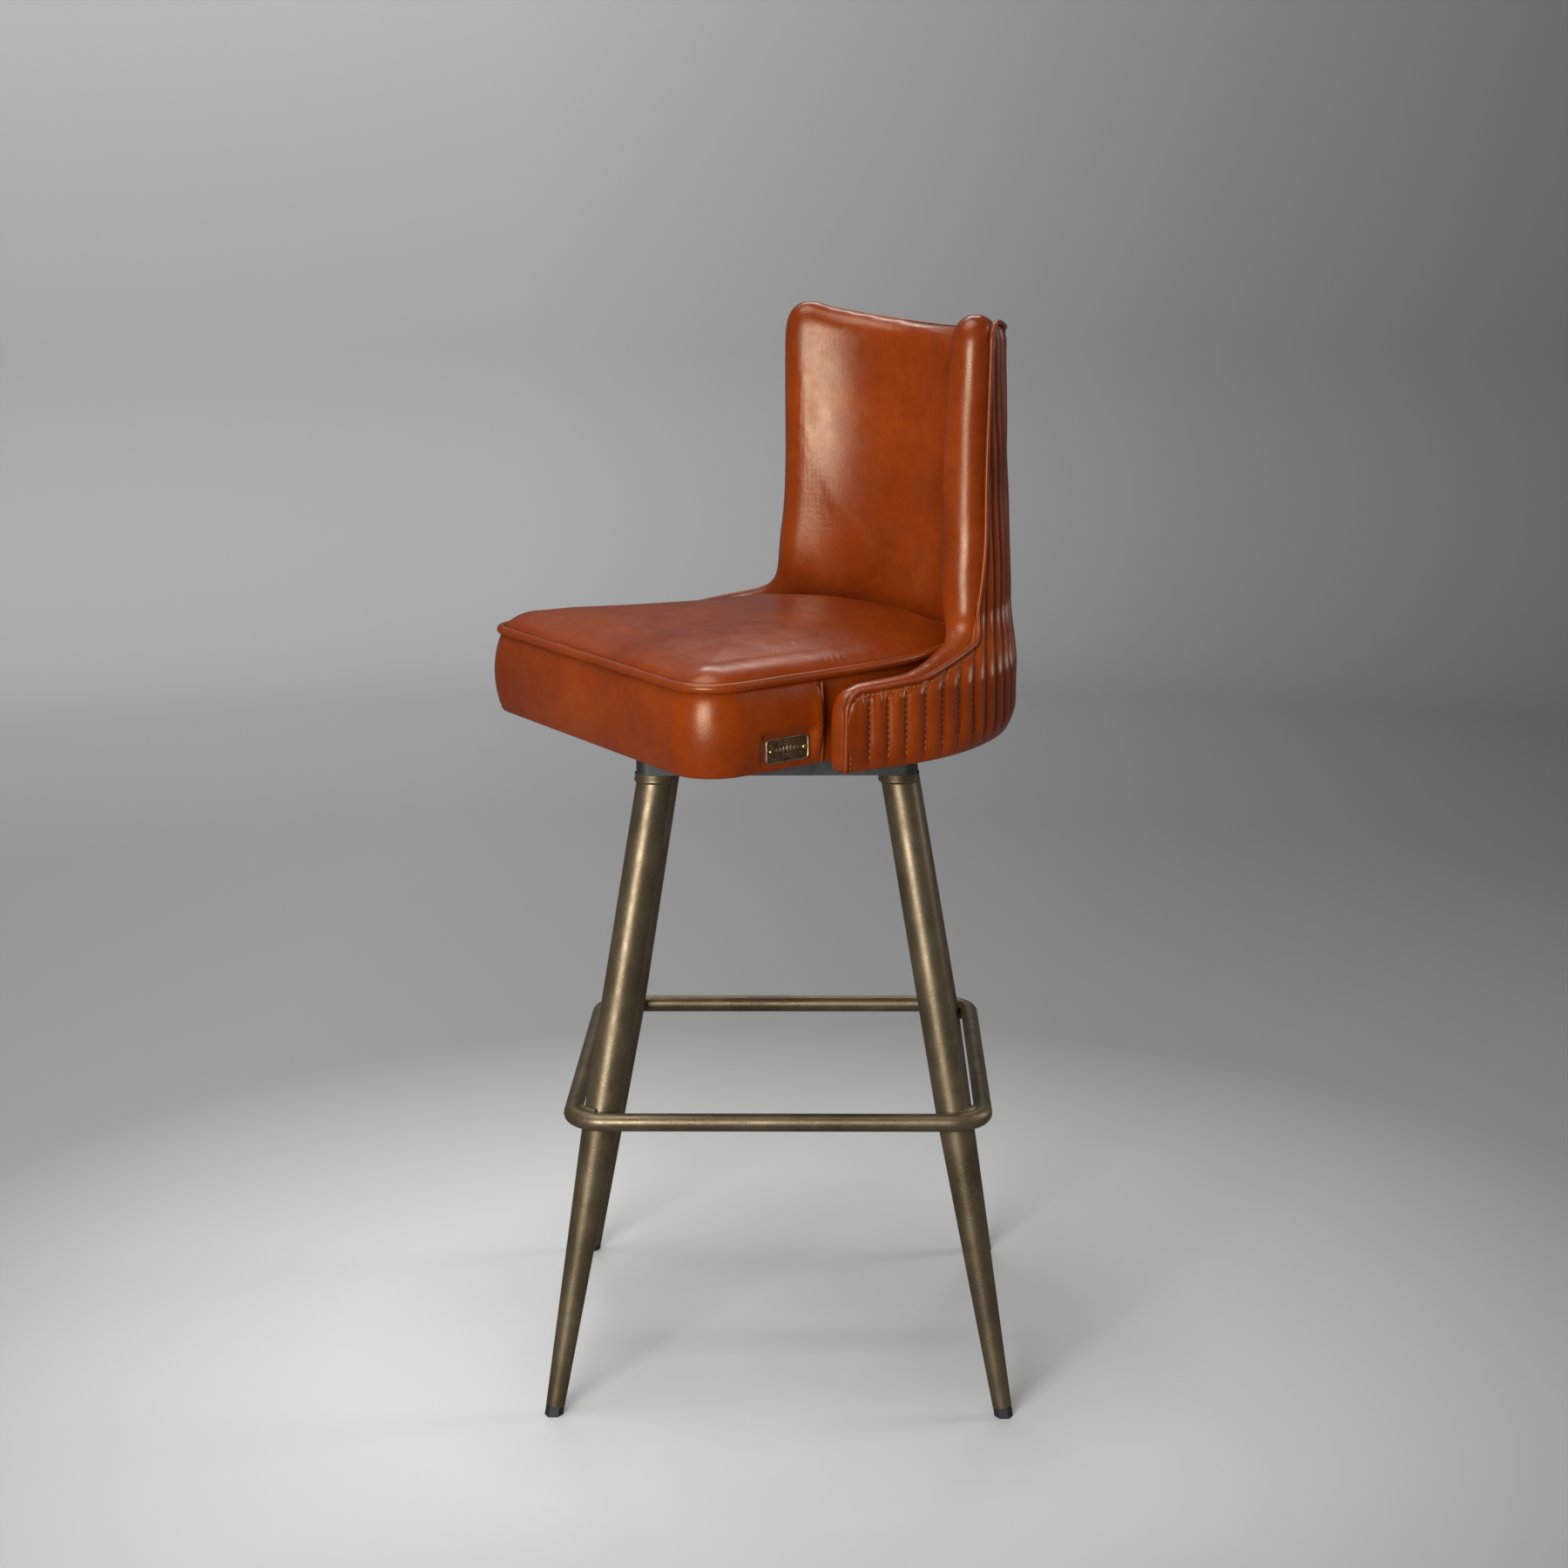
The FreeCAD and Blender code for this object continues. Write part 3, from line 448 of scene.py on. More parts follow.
def leather(name, roughness=0.32, grain=1.0, mottling=1.0, gloss_level=0.44):
    """Semi-gloss finished leather: fine pebble grain, slow mottling, darker pores."""
    n = Nodes(name)
    mottle = n.noise(7.5, 4.0, 0.55, 0.3)
    spread = 0.26 / mottling
    colour = n.ramp(mottle, [(0.5 - spread, LEATHER_DARK), (0.5, LEATHER_MIDDLE),
                             (0.5 + spread, LEATHER_LIGHT)])
    cloud = n.noise(75.0, 4.0, 0.65)
    colour = n.mix(n.range(cloud, 0.0, 0.30, 0.40, 0.80), colour, LEATHER_DARK)
    pebble = n.cells(640.0, "SMOOTH_F1")
    creases = n.cells(440.0, "DISTANCE_TO_EDGE")
    pores = n.range(creases, 0.20, 0.0, 0.0, 0.12)
    colour = n.mix(pores, colour, LEATHER_DARK)
    n.link(colour, n.shader.inputs["Base Color"])
    gloss = n.noise(42.0, 4.0, 0.6)
    rough = n.range(gloss, roughness - 0.04, roughness + 0.07, 0.3, 0.7)
    n.link(rough, n.shader.inputs["Roughness"])
    soft = n.bump(n.noise(24.0, 3.0, 0.5), 0.0008, 0.22)
    wide = n.bump(creases, 0.00030, 0.24 * grain, soft)
    fine = n.bump(pebble, 0.00022, 0.22 * grain, wide)
    n.link(fine, n.shader.inputs["Normal"])
    n.set(Specular_IOR_Level=gloss_level, Specular_Tint=(1.0, 0.82, 0.56, 1.0))
    return n.material


def thread(name, colour):
    """Twisted sewing thread."""
    n = Nodes(name)
    twist = n.noise(2400.0, 2.0)
    dark = tuple(0.55 * c for c in colour)
    n.link(n.ramp(twist, [(0.35, dark), (0.65, colour)]), n.shader.inputs["Base Color"])
    n.link(n.bump(twist, 0.0002, 0.6), n.shader.inputs["Normal"])
    n.set(Roughness=0.75, Specular_IOR_Level=0.2)
    return n.material


def bronze_coat(name, dark, light, bead=0.0):
    """Satin metallic powder coat with fine speckle and slight orange peel."""
    n = Nodes(name)
    speckle = n.noise(900.0, 2.0, 0.7)
    cloud = n.noise(14.0, 4.0, 0.6)
    colour = n.ramp(cloud, [(0.35, dark), (0.68, light)])
    glint = tuple(min(1.0, 1.9 * c) for c in light)
    colour = n.mix(n.range(speckle, 0.0, 0.5, 0.52, 0.70), colour, glint)
    n.link(colour, n.shader.inputs["Base Color"])
    n.link(n.range(n.noise(60.0, 3.0), 0.34, 0.48, 0.3, 0.7), n.shader.inputs["Roughness"])
    peel = n.bump(n.noise(420.0, 2.0), 0.0004, 0.25 + bead)
    n.link(n.bump(speckle, 0.0002, 0.2, peel), n.shader.inputs["Normal"])
    n.set(Metallic=0.75)
    return n.material


def metal(name, dark, light, roughness, metallic=1.0, scale=120.0):
    """Plated or oiled metal with handling marks."""
    n = Nodes(name)
    cloud = n.noise(scale, 4.0, 0.65, 0.3)
    n.link(n.ramp(cloud, [(0.32, dark), (0.66, light)]), n.shader.inputs["Base Color"])
    n.link(n.range(cloud, roughness + 0.10, roughness - 0.06, 0.3, 0.7), n.shader.inputs["Roughness"])
    scratches = n.noise(900.0, 2.0, 0.5, 0.0, n.stretched(1.0, 0.06, 1.0))
    n.link(n.bump(scratches, 0.0001, 0.25), n.shader.inputs["Normal"])
    n.set(Metallic=metallic)
    return n.material


def moulded(name, colour, roughness=0.45):
    """Moulded plastic with a fine spark-eroded texture."""
    n = Nodes(name)
    grain = n.noise(1500.0, 2.0, 0.6)
    pale = tuple(min(1.0, 1.35 * c + 0.004) for c in colour)
    n.link(n.ramp(n.noise(60.0, 4.0), [(0.35, colour), (0.7, pale)]), n.shader.inputs["Base Color"])
    n.link(n.range(grain, roughness - 0.05, roughness + 0.12), n.shader.inputs["Roughness"])
    n.link(n.bump(grain, 0.0002, 0.25), n.shader.inputs["Normal"])
    return n.material


def plywood(name):
    """Birch plywood coloured dark brown as painted shade, so that the gaps between the covers read as
    shadow.
    """
    n = Nodes(name)
    grain = n.noise(90.0, 6.0, 0.6, 0.8, n.stretched(0.12, 1.0, 1.0))
    # painted shade: these dark browns make the plywood read as shadow in the gaps between the covers
    colour = n.ramp(grain, [(0.30, (0.040, 0.013, 0.004)), (0.55, (0.075, 0.026, 0.008)),
                            (0.8, (0.12, 0.046, 0.016))])
    n.link(colour, n.shader.inputs["Base Color"])
    n.link(n.range(grain, 0.50, 0.72), n.shader.inputs["Roughness"])
    n.link(n.bump(grain, 0.0004, 0.3), n.shader.inputs["Normal"])
    return n.material


def dust_cloth(name):
    """Black spun-bonded cloth with its dimpled weld pattern."""
    n = Nodes(name)
    dimples = n.cells(520.0, "F1", 0.05)
    fibres = n.noise(1100.0, 3.0, 0.7)
    colour = n.ramp(fibres, [(0.3, (0.008, 0.008, 0.008)), (0.7, (0.035, 0.034, 0.033))])
    n.link(colour, n.shader.inputs["Base Color"])
    n.link(n.range(fibres, 0.75, 0.95), n.shader.inputs["Roughness"])
    n.link(n.bump(fibres, 0.0002, 0.4, n.bump(dimples, 0.0004, 0.5)), n.shader.inputs["Normal"])
    return n.material


materials = {
    "seat_leather": leather("seat_leather", 0.29, 1.0, 0.6, 0.36),
    "back_leather": leather("back_leather", 0.29, 1.0, 0.8),
    "outer_leather": leather("outer_leather", 0.28, 0.9, 0.8, 0.40),
    "piping_leather": leather("piping_leather", 0.33, 0.6, 0.6),
    "bronze_coat": bronze_coat("bronze_coat", (0.100, 0.072, 0.038), (0.180, 0.136, 0.080)),
    "bronze_weld": bronze_coat("bronze_weld", (0.105, 0.074, 0.038), (0.185, 0.140, 0.082), 0.5),
    "glide_black": moulded("glide_black", (0.012, 0.012, 0.012), 0.42),
    "zinc_steel": metal("zinc_steel", (0.42, 0.42, 0.40), (0.66, 0.66, 0.62), 0.32),
    "black_steel": metal("black_steel", (0.012, 0.012, 0.012), (0.028, 0.027, 0.026), 0.45, 0.0),
    "race_steel": metal("race_steel", (0.25, 0.25, 0.25), (0.45, 0.45, 0.45), 0.28),
    "ball_steel": metal("ball_steel", (0.62, 0.62, 0.63), (0.78, 0.78, 0.79), 0.12),
    "cage_plastic": moulded("cage_plastic", (0.62, 0.58, 0.48), 0.40),
    # the plywood carries painted shade: dark, so that the gaps between the covers read as shadow
    "plywood": plywood("plywood"),
    "dust_cloth": dust_cloth("dust_cloth"),
    "antique_brass": metal("antique_brass", (0.045, 0.034, 0.018), (0.230, 0.160, 0.080), 0.42, 0.8, 260.0),
    "worn_brass": metal("worn_brass", (0.26, 0.20, 0.12), (0.52, 0.42, 0.29), 0.40, 0.9, 300.0),
    "rivet_brass": metal("rivet_brass", (0.50, 0.34, 0.10), (0.78, 0.56, 0.20), 0.22),
    "thread": thread("thread", (0.46, 0.135, 0.024)),
}


def dress_frame():
    """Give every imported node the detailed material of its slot."""
    for entry in frame["record"]["subparts"]:
        material = materials.get(entry["material_slot"])
        if material is None:
            continue
        for slot in frame["nodes"][entry["node"]].material_slots:
            slot.material = material


def finish_piece(piece, slot, material=None):
    """Paint a seat piece, turn it to its resting place and let it ride on the seat."""
    piece.data.materials.clear()
    piece.data.materials.append(materials[material or slot])
    piece.data.transform(Matrix.Rotation(SEAT_YAW, 4, "Z"))
    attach(piece, "seat")


# ---- shell surface -----------------------------------------------------------------

def shell_radius(z):
    waist = HIP_RADIUS - (HIP_RADIUS - WAIST_RADIUS) * smooth_step((z - 0.780) / 0.064)
    return waist + (TOP_RADIUS - WAIST_RADIUS) * smooth_step((z - 0.950) / 0.200)


def shell_back(z):
    """Distance from the swivel axis to the outer face at the middle of the back."""
    waist = BACK_AT_HIP + (BACK_AT_WAIST - BACK_AT_HIP) * smooth_step((z - 0.780) / 0.064)
    return waist + (BACK_AT_TOP - BACK_AT_WAIST) * smooth_step((z - 0.844) / 0.306)


def shell_point(angle, z, depth=0.0):
    """A point on the shell, this far inside its outer face. The angle is measured from the
    middle of the back; past a quarter turn the sides run straight forward."""
    angle, z, depth = np.broadcast_arrays(angle, z, depth)
    centre = shell_radius(z) - shell_back(z)
    radius = shell_radius(z) - depth
    turn = np.minimum(np.abs(angle), math.pi / 2.0)
    forward = (np.abs(angle) - turn) * HIP_RADIUS
    x = centre - radius * np.cos(turn) + forward
    y = np.sign(angle) * radius * np.sin(turn)
    return np.stack([x, y, z], axis=-1)


def shell_normal(angle):
    turn = np.clip(angle, -math.pi / 2.0, math.pi / 2.0)
    return np.stack([-np.cos(turn), np.sin(turn), np.zeros_like(turn)], axis=-1)


def shell_place(points):
    """The angle and height of points near the shell."""
    x, y, z = points[:, 0], points[:, 1], points[:, 2]
    centre = shell_radius(z) - shell_back(z)
    side = np.sign(y)
    angle = np.where(x < centre, np.arctan2(np.abs(y), centre - x),
                     math.pi / 2.0 + (x - centre) / HIP_RADIUS)
    return side * angle, z


def welt_line(step):
    """(angle, z) along the welt, from the left arm's foot over the top to the right arm's."""
    path = resampled(rounded_path(WELT_PROFILE), 0.0002)
    x, z = path[:, 0], path[:, 1]
    centre = shell_radius(z) - shell_back(z)
    share = (centre - x) / shell_radius(z)
    angle = np.where(share < 0.0, math.pi / 2.0 + (x - centre) / HIP_RADIUS,
                     np.arccos(np.clip(share, 0.0, 1.0)))
    keep = share < 1.0
    angle = np.append(angle[keep], 0.0)
    z = np.append(z[keep], z[keep][-1])
    angle = np.concatenate([angle, -angle[-2::-1]])
    z = np.concatenate([z, z[-2::-1]])
    both = np.stack([angle, z], axis=1)
    return resampled(shell_point(angle, z), step, both)


def edge_frame(line):
    """At each point of the welt: the point, the way out of the panel, and inwards."""
    points = shell_point(line[:, 0], line[:, 1])
    tangent = unit(np.gradient(points, axis=0))
    inward = -shell_normal(line[:, 0])
    out = unit(np.cross(tangent, inward))
    middle = len(points) // 2
    if out[middle][2] < 0.0:
        out = -out
    return points, out, inward


# ---- outer panel -------------------------------------------------------------------

def channel_number(angle):
    """How many channels round from the middle of the back, whole on a stitch line."""
    count = angle / CHANNEL_PITCH
    extra = np.clip(np.abs(count) - NARROW_FROM, 0.0, None)
    return count + np.sign(count) * extra * NARROWING / (1.0 - NARROWING)


def channel_angle(number):
    """The angle of a stitch line: the channel number, undone."""
    extra = max(abs(number) - NARROW_FROM, 0.0)
    return CHANNEL_PITCH * (number - math.copysign(extra * NARROWING, number))


def panel_stand(angle, z, below_welt):
    """How far the channelled leather stands out of the shell's face: puffed between the
    stitch lines, drawn in and gathered under the welt, and drawn in again at the foot."""
    number = channel_number(angle)
    line = np.clip(np.round(number), -CHANNEL_COUNT, CHANNEL_COUNT)
    across = np.abs(number - line) * 2.0
    hump = 1.0 - np.clip(1.0 - across, 0.0, 1.0) ** 2.0
    pinch = smooth_step(below_welt / 0.014) * smooth_step((z - BOTTOM) / 0.030)
    stand = CHANNEL_HEIGHT * (hump * (0.35 + 0.65 * pinch) - 0.42)
    place = shell_point(angle, z).reshape(-1, 3)
    gather = np.exp(-np.clip(below_welt, 0.0, 1.0) / 0.011) * smooth_step(below_welt / 0.004)
    pucker_pitch, pucker_height, unevenness = 0.0080, 0.0012, 0.0006
    turns = np.ravel(angle) * HIP_RADIUS * (2.0 * math.pi / pucker_pitch)
    pucker = np.sin(turns + 2.0 * waves(place, 0.05, 3)) * (0.6 + 0.4 * waves(place, 0.07, 4))
    uneven = pucker_height * np.ravel(gather) * pucker + unevenness * waves(place, 0.09, 5)
    return stand + uneven.reshape(np.shape(stand))


def panel_point(angle, z, below_welt):
    return shell_point(angle, z, -panel_stand(angle, z, below_welt))


def foot_depth(angle):
    """How far the round under the shell's lower edge comes in: tight at the arms."""
    return 0.004 + 0.006 * smooth_step((math.radians(88.0) - np.abs(angle)) / math.radians(35.0))


def outer_panel():
    """The channelled leather, from under the foot up to the welt, tucked in at both edges."""
    tuck = 0.020
    line = welt_line(0.0014)
    angle, top = line[:, 0], line[:, 1]
    depth = foot_depth(angle)
    height = FOOT_SLOPE * depth
    grid = [shell_point(angle, BOTTOM + 0.0002, depth + tuck)]
    for turn in np.linspace(0.0, math.pi / 2.0, 12):
        z = BOTTOM + height * (1.0 - np.cos(turn))
        inset = depth * (1.0 - np.sin(turn)) - panel_stand(angle, z, top - z) * math.sin(turn) ** 2
        grid.append(shell_point(angle, z, inset))
    low = BOTTOM + height
    for t in np.linspace(0.0, 1.0, 96)[1:]:
        z = low + (top - low) * t
        grid.append(panel_point(angle, z, top - z))
    for inset in (0.002, 0.004, 0.006):
        grid.append(shell_point(angle, top, inset))
    points = np.array(grid)
    faces = grid_faces(points.shape[0], points.shape[1])
    return new_object("outer_panel", points.reshape(-1, 3), faces)


def channel_stitches():
    """The thread down every line between two channels."""
    line = welt_line(0.0018)
    half = len(line) // 2 + 1
    pitch = 0.0064
    centres, directions, normals = [], [], []
    for k in range(-CHANNEL_COUNT, CHANNEL_COUNT + 1):
        angle = channel_angle(k)
        top = np.interp(abs(angle), line[:half, 0][::-1], line[:half, 1][::-1])
        foot = FOOT_SLOPE * float(foot_depth(np.array(angle)))
        heights = np.arange(BOTTOM + foot + 0.002, top - 0.006, pitch)
        angles = np.full(len(heights), angle)
        place = panel_point(angles, heights, top - heights)
        centres.append(place + shell_normal(angles) * 0.0004)
        directions.append(np.gradient(place, axis=0))
        normals.append(shell_normal(angles))
    return stitches("channel_stitches", np.concatenate(centres), np.concatenate(directions),
                    np.concatenate(normals), 0.0044, STITCH_RADIUS)


def welt():
    """The thin cord between the roll and the outer panel, thinner at its two ends."""
    line = welt_line(0.0030)
    points, out, inward = edge_frame(line)
    away_from_end = smooth_step((line[:, 1] - BOTTOM + 0.001) / 0.006)
    radius = WELT_RADIUS * (0.35 + 0.65 * away_from_end)
    return tube("edge_welt", points - inward * 0.0012 + out * 0.0004, radius, 12)


def welt_stitches():
    """The row of thread on the outer panel, just below the welt."""
    line = welt_line(0.0050)
    points, out, _ = edge_frame(line)
    angle, z = shell_place(points - out * 0.0048)
    place = panel_point(angle, z, np.full(len(z), 0.0045))
    keep = z > BOTTOM + 0.004
    directions = np.gradient(place, axis=0)
    return stitches("welt_stitches", (place + shell_normal(angle) * 0.0007)[keep], directions[keep],
                    shell_normal(angle)[keep], 0.0034, STITCH_RADIUS)


# ---- inner back and edge roll ------------------------------------------------------

def wing_share(z):
    """0 on the arm, 1 on the wing and the top edge."""
    return smooth_step((z - 0.812) / 0.080)


def roll_solid():
    """The padded roll, a closed bean that follows the welt."""
    line = welt_line(0.0030)
    points, out, inward = edge_frame(line)
    points[:, 2] -= 0.010 * smooth_step((BOTTOM + 0.024 - points[:, 2]) / 0.024)
    wing = wing_share(line[:, 1])
    thickness = pad_depth(line[:, 0], line[:, 1]) * (1.0 + 0.020 * wing) + 0.0025
    along_top = smooth_step((math.radians(54.0) - np.abs(line[:, 0])) / math.radians(9.0))
    front = 0.0065 + 0.0115 * wing * (1.0 - 0.92 * along_top)
    length = 0.020 + 0.004 * wing
    sides = 28
    squareness = 0.85
    angles = np.linspace(0.0, 2.0 * math.pi, sides, endpoint=False)
    out_share = np.sign(np.cos(angles)) * np.abs(np.cos(angles)) ** squareness
    in_share = np.sign(np.sin(angles)) * np.abs(np.sin(angles)) ** squareness
    half = thickness / 2.0
    centre = points + out * (front - length)[:, None] + inward * (half - 0.0020)[:, None]
    ring = (centre[:, None] + out[:, None] * (length[:, None, None] * out_share[None, :, None])
            + inward[:, None] * (half[:, None, None] * in_share[None, :, None]))
    return new_object("roll", ring.reshape(-1, 3), capped_faces(len(line), sides))


def pad_depth(angle, z):
    """Outer face to the inner pad's face."""
    side = 0.036 + 0.012 * wing_share(z)
    back = 0.066 - 0.028 * smooth_step((z - 0.820) / 0.300)
    share = np.cos(np.clip(angle * 0.9, -math.pi / 2.0, math.pi / 2.0)) ** 2
    return side + (back - side) * share


def pad_solid():
    """The foam of the inner back, a closed sheet that stops a little short of the welt."""
    line = welt_line(0.0040)
    angle, top = line[:, 0], line[:, 1]
    top = np.maximum(top - 0.006 - 0.011 * wing_share(top), BOTTOM + 0.004)
    foot = BOTTOM + 0.016
    rows = 70
    outer, inner = [], []
    for t in np.linspace(0.0, 1.0, rows):
        z = foot + (top - foot) * t
        outer.append(shell_point(angle, z, 0.010))
        inner.append(shell_point(angle, z, pad_depth(angle, z)))
    points = np.concatenate(outer + inner)
    count = len(line)
    offset = rows * count
    faces = grid_faces(rows, count).tolist()
    faces += [[a + offset for a in reversed(face)] for face in grid_faces(rows, count).tolist()]
    last = (rows - 1) * count
    for j in range(count - 1):
        faces.append([j + 1, j, offset + j, offset + j + 1])
        faces.append([last + j, last + j + 1, offset + last + j + 1, offset + last + j])
    for i in range(rows - 1):
        a, b = i * count, (i + 1) * count
        faces.append([a, b, offset + b, offset + a])
        faces.append([b + count - 1, a + count - 1, offset + a + count - 1, offset + b + count - 1])
    return new_object("pad", points, faces)


def back_sewn(points):
    """1 where the inner back's cover is held to the shell, and low down behind the cushion."""
    angle, z = shell_place(points)
    centre = shell_radius(z) - shell_back(z)
    depth = shell_radius(z) - np.hypot(points[:, 0] - centre, points[:, 1])
    near_shell = smooth_step((0.022 - depth) / 0.010)
    beside_arm = smooth_step((np.abs(points[:, 1]) - shell_radius(z) + 0.022) / 0.010)
    near_shell = np.where(np.abs(angle) > math.pi / 2.0, beside_arm, near_shell)
    low = smooth_step((PIPING_HEIGHT + 0.020 - z) / 0.020)
    return np.clip(near_shell + low, 0.0, 1.0)


def inner_back():
    """The foam-padded inner back and its roll, drawn tight as one skin."""
    roll = roll_solid()
    pad = pad_solid()
    outward(roll)
    outward(pad)
    piece = joined("inner_back", [roll, pad])
    remesh = piece.modifiers.new("remesh", "REMESH")
    remesh.mode = "VOXEL"
    remesh.voxel_size = 0.0045
    remesh.use_smooth_shade = True
    relax = piece.modifiers.new("relax", "SMOOTH")
    relax.factor = 0.5
    relax.iterations = 70
    divide = piece.modifiers.new("divide", "SUBSURF")
    divide.levels = 1
    divide.render_levels = 1
    apply_modifiers(piece)
    plump(piece, back_sewn, voxel=0.007, pressure=2.0, cap=0.004, easing=160)
    points = points_of(piece)
    angle, _ = shell_place(points)
    inward = -shell_normal(angle)
    points = points + inward * (0.0006 * waves(points, 0.11, 41))[:, None]
    points[:, 2] = np.maximum(points[:, 2], BOTTOM + 0.0004)
    place_points(piece, points)
    return piece


# ---- cushion -----------------------------------------------------------------------

def side_angle():
    """Which way the cushion's nearly straight left side faces."""
    across = np.array([SEAT_FRONT - SEAT_CORNER - SEAT_REAR_CENTRE, SEAT_HALF_WIDTH - SEAT_CORNER])
    return (math.atan2(across[1], across[0])
            + math.acos((SEAT_REAR_RADIUS - SEAT_CORNER) / np.linalg.norm(across)))


def side_place(x, z, along, up, out):
    """Points in the left side's own directions, about the place on it at this x and z."""
    normal = np.array([math.cos(side_angle()), math.sin(side_angle())])
    tangent = np.array([normal[1], -normal[0]])
    rear = np.array([SEAT_REAR_CENTRE, 0.0]) + normal * SEAT_REAR_RADIUS
    start = rear + tangent * (x - rear[0]) / tangent[0]
    plan = start + np.outer(along, tangent) + np.outer(out, normal)
    return np.column_stack([plan, z + np.asarray(up)])


def seat_plan(step):
    """The cushion's outline, closed, starting in the middle of the front."""
    corner = np.array([SEAT_FRONT - SEAT_CORNER, SEAT_HALF_WIDTH - SEAT_CORNER])
    normal = side_angle()
    points = [np.array([SEAT_FRONT, 0.0]), np.array([SEAT_FRONT, corner[1]])]
    for angle in np.linspace(0.0, normal, 24)[1:]:
        points.append(corner + SEAT_CORNER * np.array([math.cos(angle), math.sin(angle)]))
    for angle in np.linspace(normal, math.pi, 60):
        points.append(np.array([SEAT_REAR_CENTRE, 0.0])
                      + SEAT_REAR_RADIUS * np.array([math.cos(angle), math.sin(angle)]))
    left = np.array(points)
    right = left[-2::-1] * np.array([1.0, -1.0])
    return resampled(np.concatenate([left, right]), step)[:-1]


def plan_normals(plan):
    tangent = unit(np.roll(plan, -1, axis=0) - np.roll(plan, 1, axis=0))
    normal = np.stack([tangent[:, 1], -tangent[:, 0]], axis=1)
    for _ in range(6):
        normal = unit(normal + 0.5 * (np.roll(normal, 1, axis=0) + np.roll(normal, -1, axis=0)))
    return normal


def piping_height(plan):
    """The piping rises a little where the back squeezes the cushion."""
    return PIPING_HEIGHT + 0.0015 + 0.004 * smooth_step((0.04 - plan[:, 0]) / 0.20)


def badge_share(x, y, z):
    """1 where the badge presses the side flat, 0 away from it."""
    share = smooth_step((BADGE_HALF_WIDTH + 0.011 - np.abs(x - BADGE_X)) / 0.010) * (y > 0.0)
    return share * smooth_step((BADGE_HALF_HEIGHT + 0.011 - np.abs(z - BADGE_Z)) / 0.010)


def boxing_swell(plan, z, share):
    """How far the side stands out of its plan, a share of the way up: full in front of the
    boxing seam, tucked in behind it, flat under the badge and drawn in below the piping."""
    x, y = plan[:, 0], plan[:, 1]
    shown = smooth_step((x - BOXING_SEAM + 0.002) / 0.004)
    swell = BOXING_BULGE * math.sin(math.pi * share) ** 0.7 * (1.0 - badge_share(x, y, z))
    at_seam = 0.0022 * np.exp(-((x - BOXING_SEAM - 0.006) / 0.008) ** 2) * math.sin(math.pi * share)
    tucked = -0.0050 * float(smooth_step((share - 0.22) / 0.25))
    place = np.stack([x, y, np.full(len(x), z)], axis=1)
    drag = np.exp(-((x - BOXING_SEAM - 0.010) / 0.014) ** 2) * math.exp(-((share - 0.45) / 0.22) ** 2)
    creases = 0.0007 * drag * np.sin((x * 0.8 + z) * 2.0 * math.pi / 0.0075 + waves(place, 0.05, 21))
    settle = 0.0006 * waves(place, 0.085, 22) * math.sin(math.pi * share)
    return shown * (swell + at_seam + creases + settle) + (1.0 - shown) * tucked - 0.0030 * share ** 6


def crown_creases(points):
    """Fine gathers beside the piping, where the arms and the back crowd the cushion."""
    x, y = points[:, 0], points[:, 1]
    reach = SEAT_HALF_WIDTH - np.abs(y)
    beside_arm = smooth_step((0.085 - x) / 0.05) * smooth_step((x + 0.13) / 0.05)
    band = np.exp(-((reach - 0.024) / 0.016) ** 2) * beside_arm
    lines = np.sin((x + 0.35 * reach) * 2.0 * math.pi / 0.0082 + 1.6 * waves(points, 0.045, 31))
    uneven = np.clip(0.4 + 0.6 * waves(points, 0.05, 32), 0.0, 1.0)
    return 0.00085 * band * uneven * lines + 0.0007 * waves(points, 0.13, 33)


def cushion_sewn(points):
    """1 where the cushion's cover is held: beside the piping, under the edge, behind the
    boxing seam and under the badge."""
    beside_piping = np.exp(-((points[:, 2] - PIPING_HEIGHT - 0.002) / 0.006) ** 2)
    under = smooth_step((BOTTOM + 0.018 - points[:, 2]) / 0.012)
    behind = smooth_step((BOXING_SEAM - points[:, 0]) / 0.010) * (points[:, 2] < PIPING_HEIGHT)
    badge = badge_share(points[:, 0], points[:, 1], points[:, 2])
    return np.clip(beside_piping + under + behind + badge, 0.0, 1.0)


def cushion_rows(plan):
    """Rings of points from the cushion's underside, up its side and over its shoulder."""
    normal = plan_normals(plan)
    seam = piping_height(plan)
    rows = []

    def ring(outset, z):
        rows.append(np.concatenate([plan + normal * np.broadcast_to(outset, len(plan))[:, None],
                                    np.broadcast_to(z, len(plan))[:, None]], axis=1))

    ring(-0.016, BOTTOM + 0.0006)
    ring(-0.008, BOTTOM + 0.0004)
    for t in np.linspace(0.0, 1.0, 6):
        turn = t * math.pi / 2.0
        ring(-0.005 * (1.0 - math.sin(turn)), BOTTOM + 0.006 * (1.0 - math.cos(turn)))
    low = BOTTOM + 0.006
    for t in np.linspace(0.0, 1.0, 28)[1:]:
        z = low + (seam - 0.004 - low) * t
        ring(boxing_swell(plan, float(z.mean()), t), z)
    ring(-0.0065, seam - 0.0015)
    ring(-0.0085, seam + 0.0010)
    for t in np.linspace(0.0, 1.0, 20):
        turn = t * math.pi / 2.0
        ring(-0.0070 - 0.036 * t ** 1.25, seam + 0.0025 + 0.0160 * math.sin(turn) ** 0.85)
    return rows


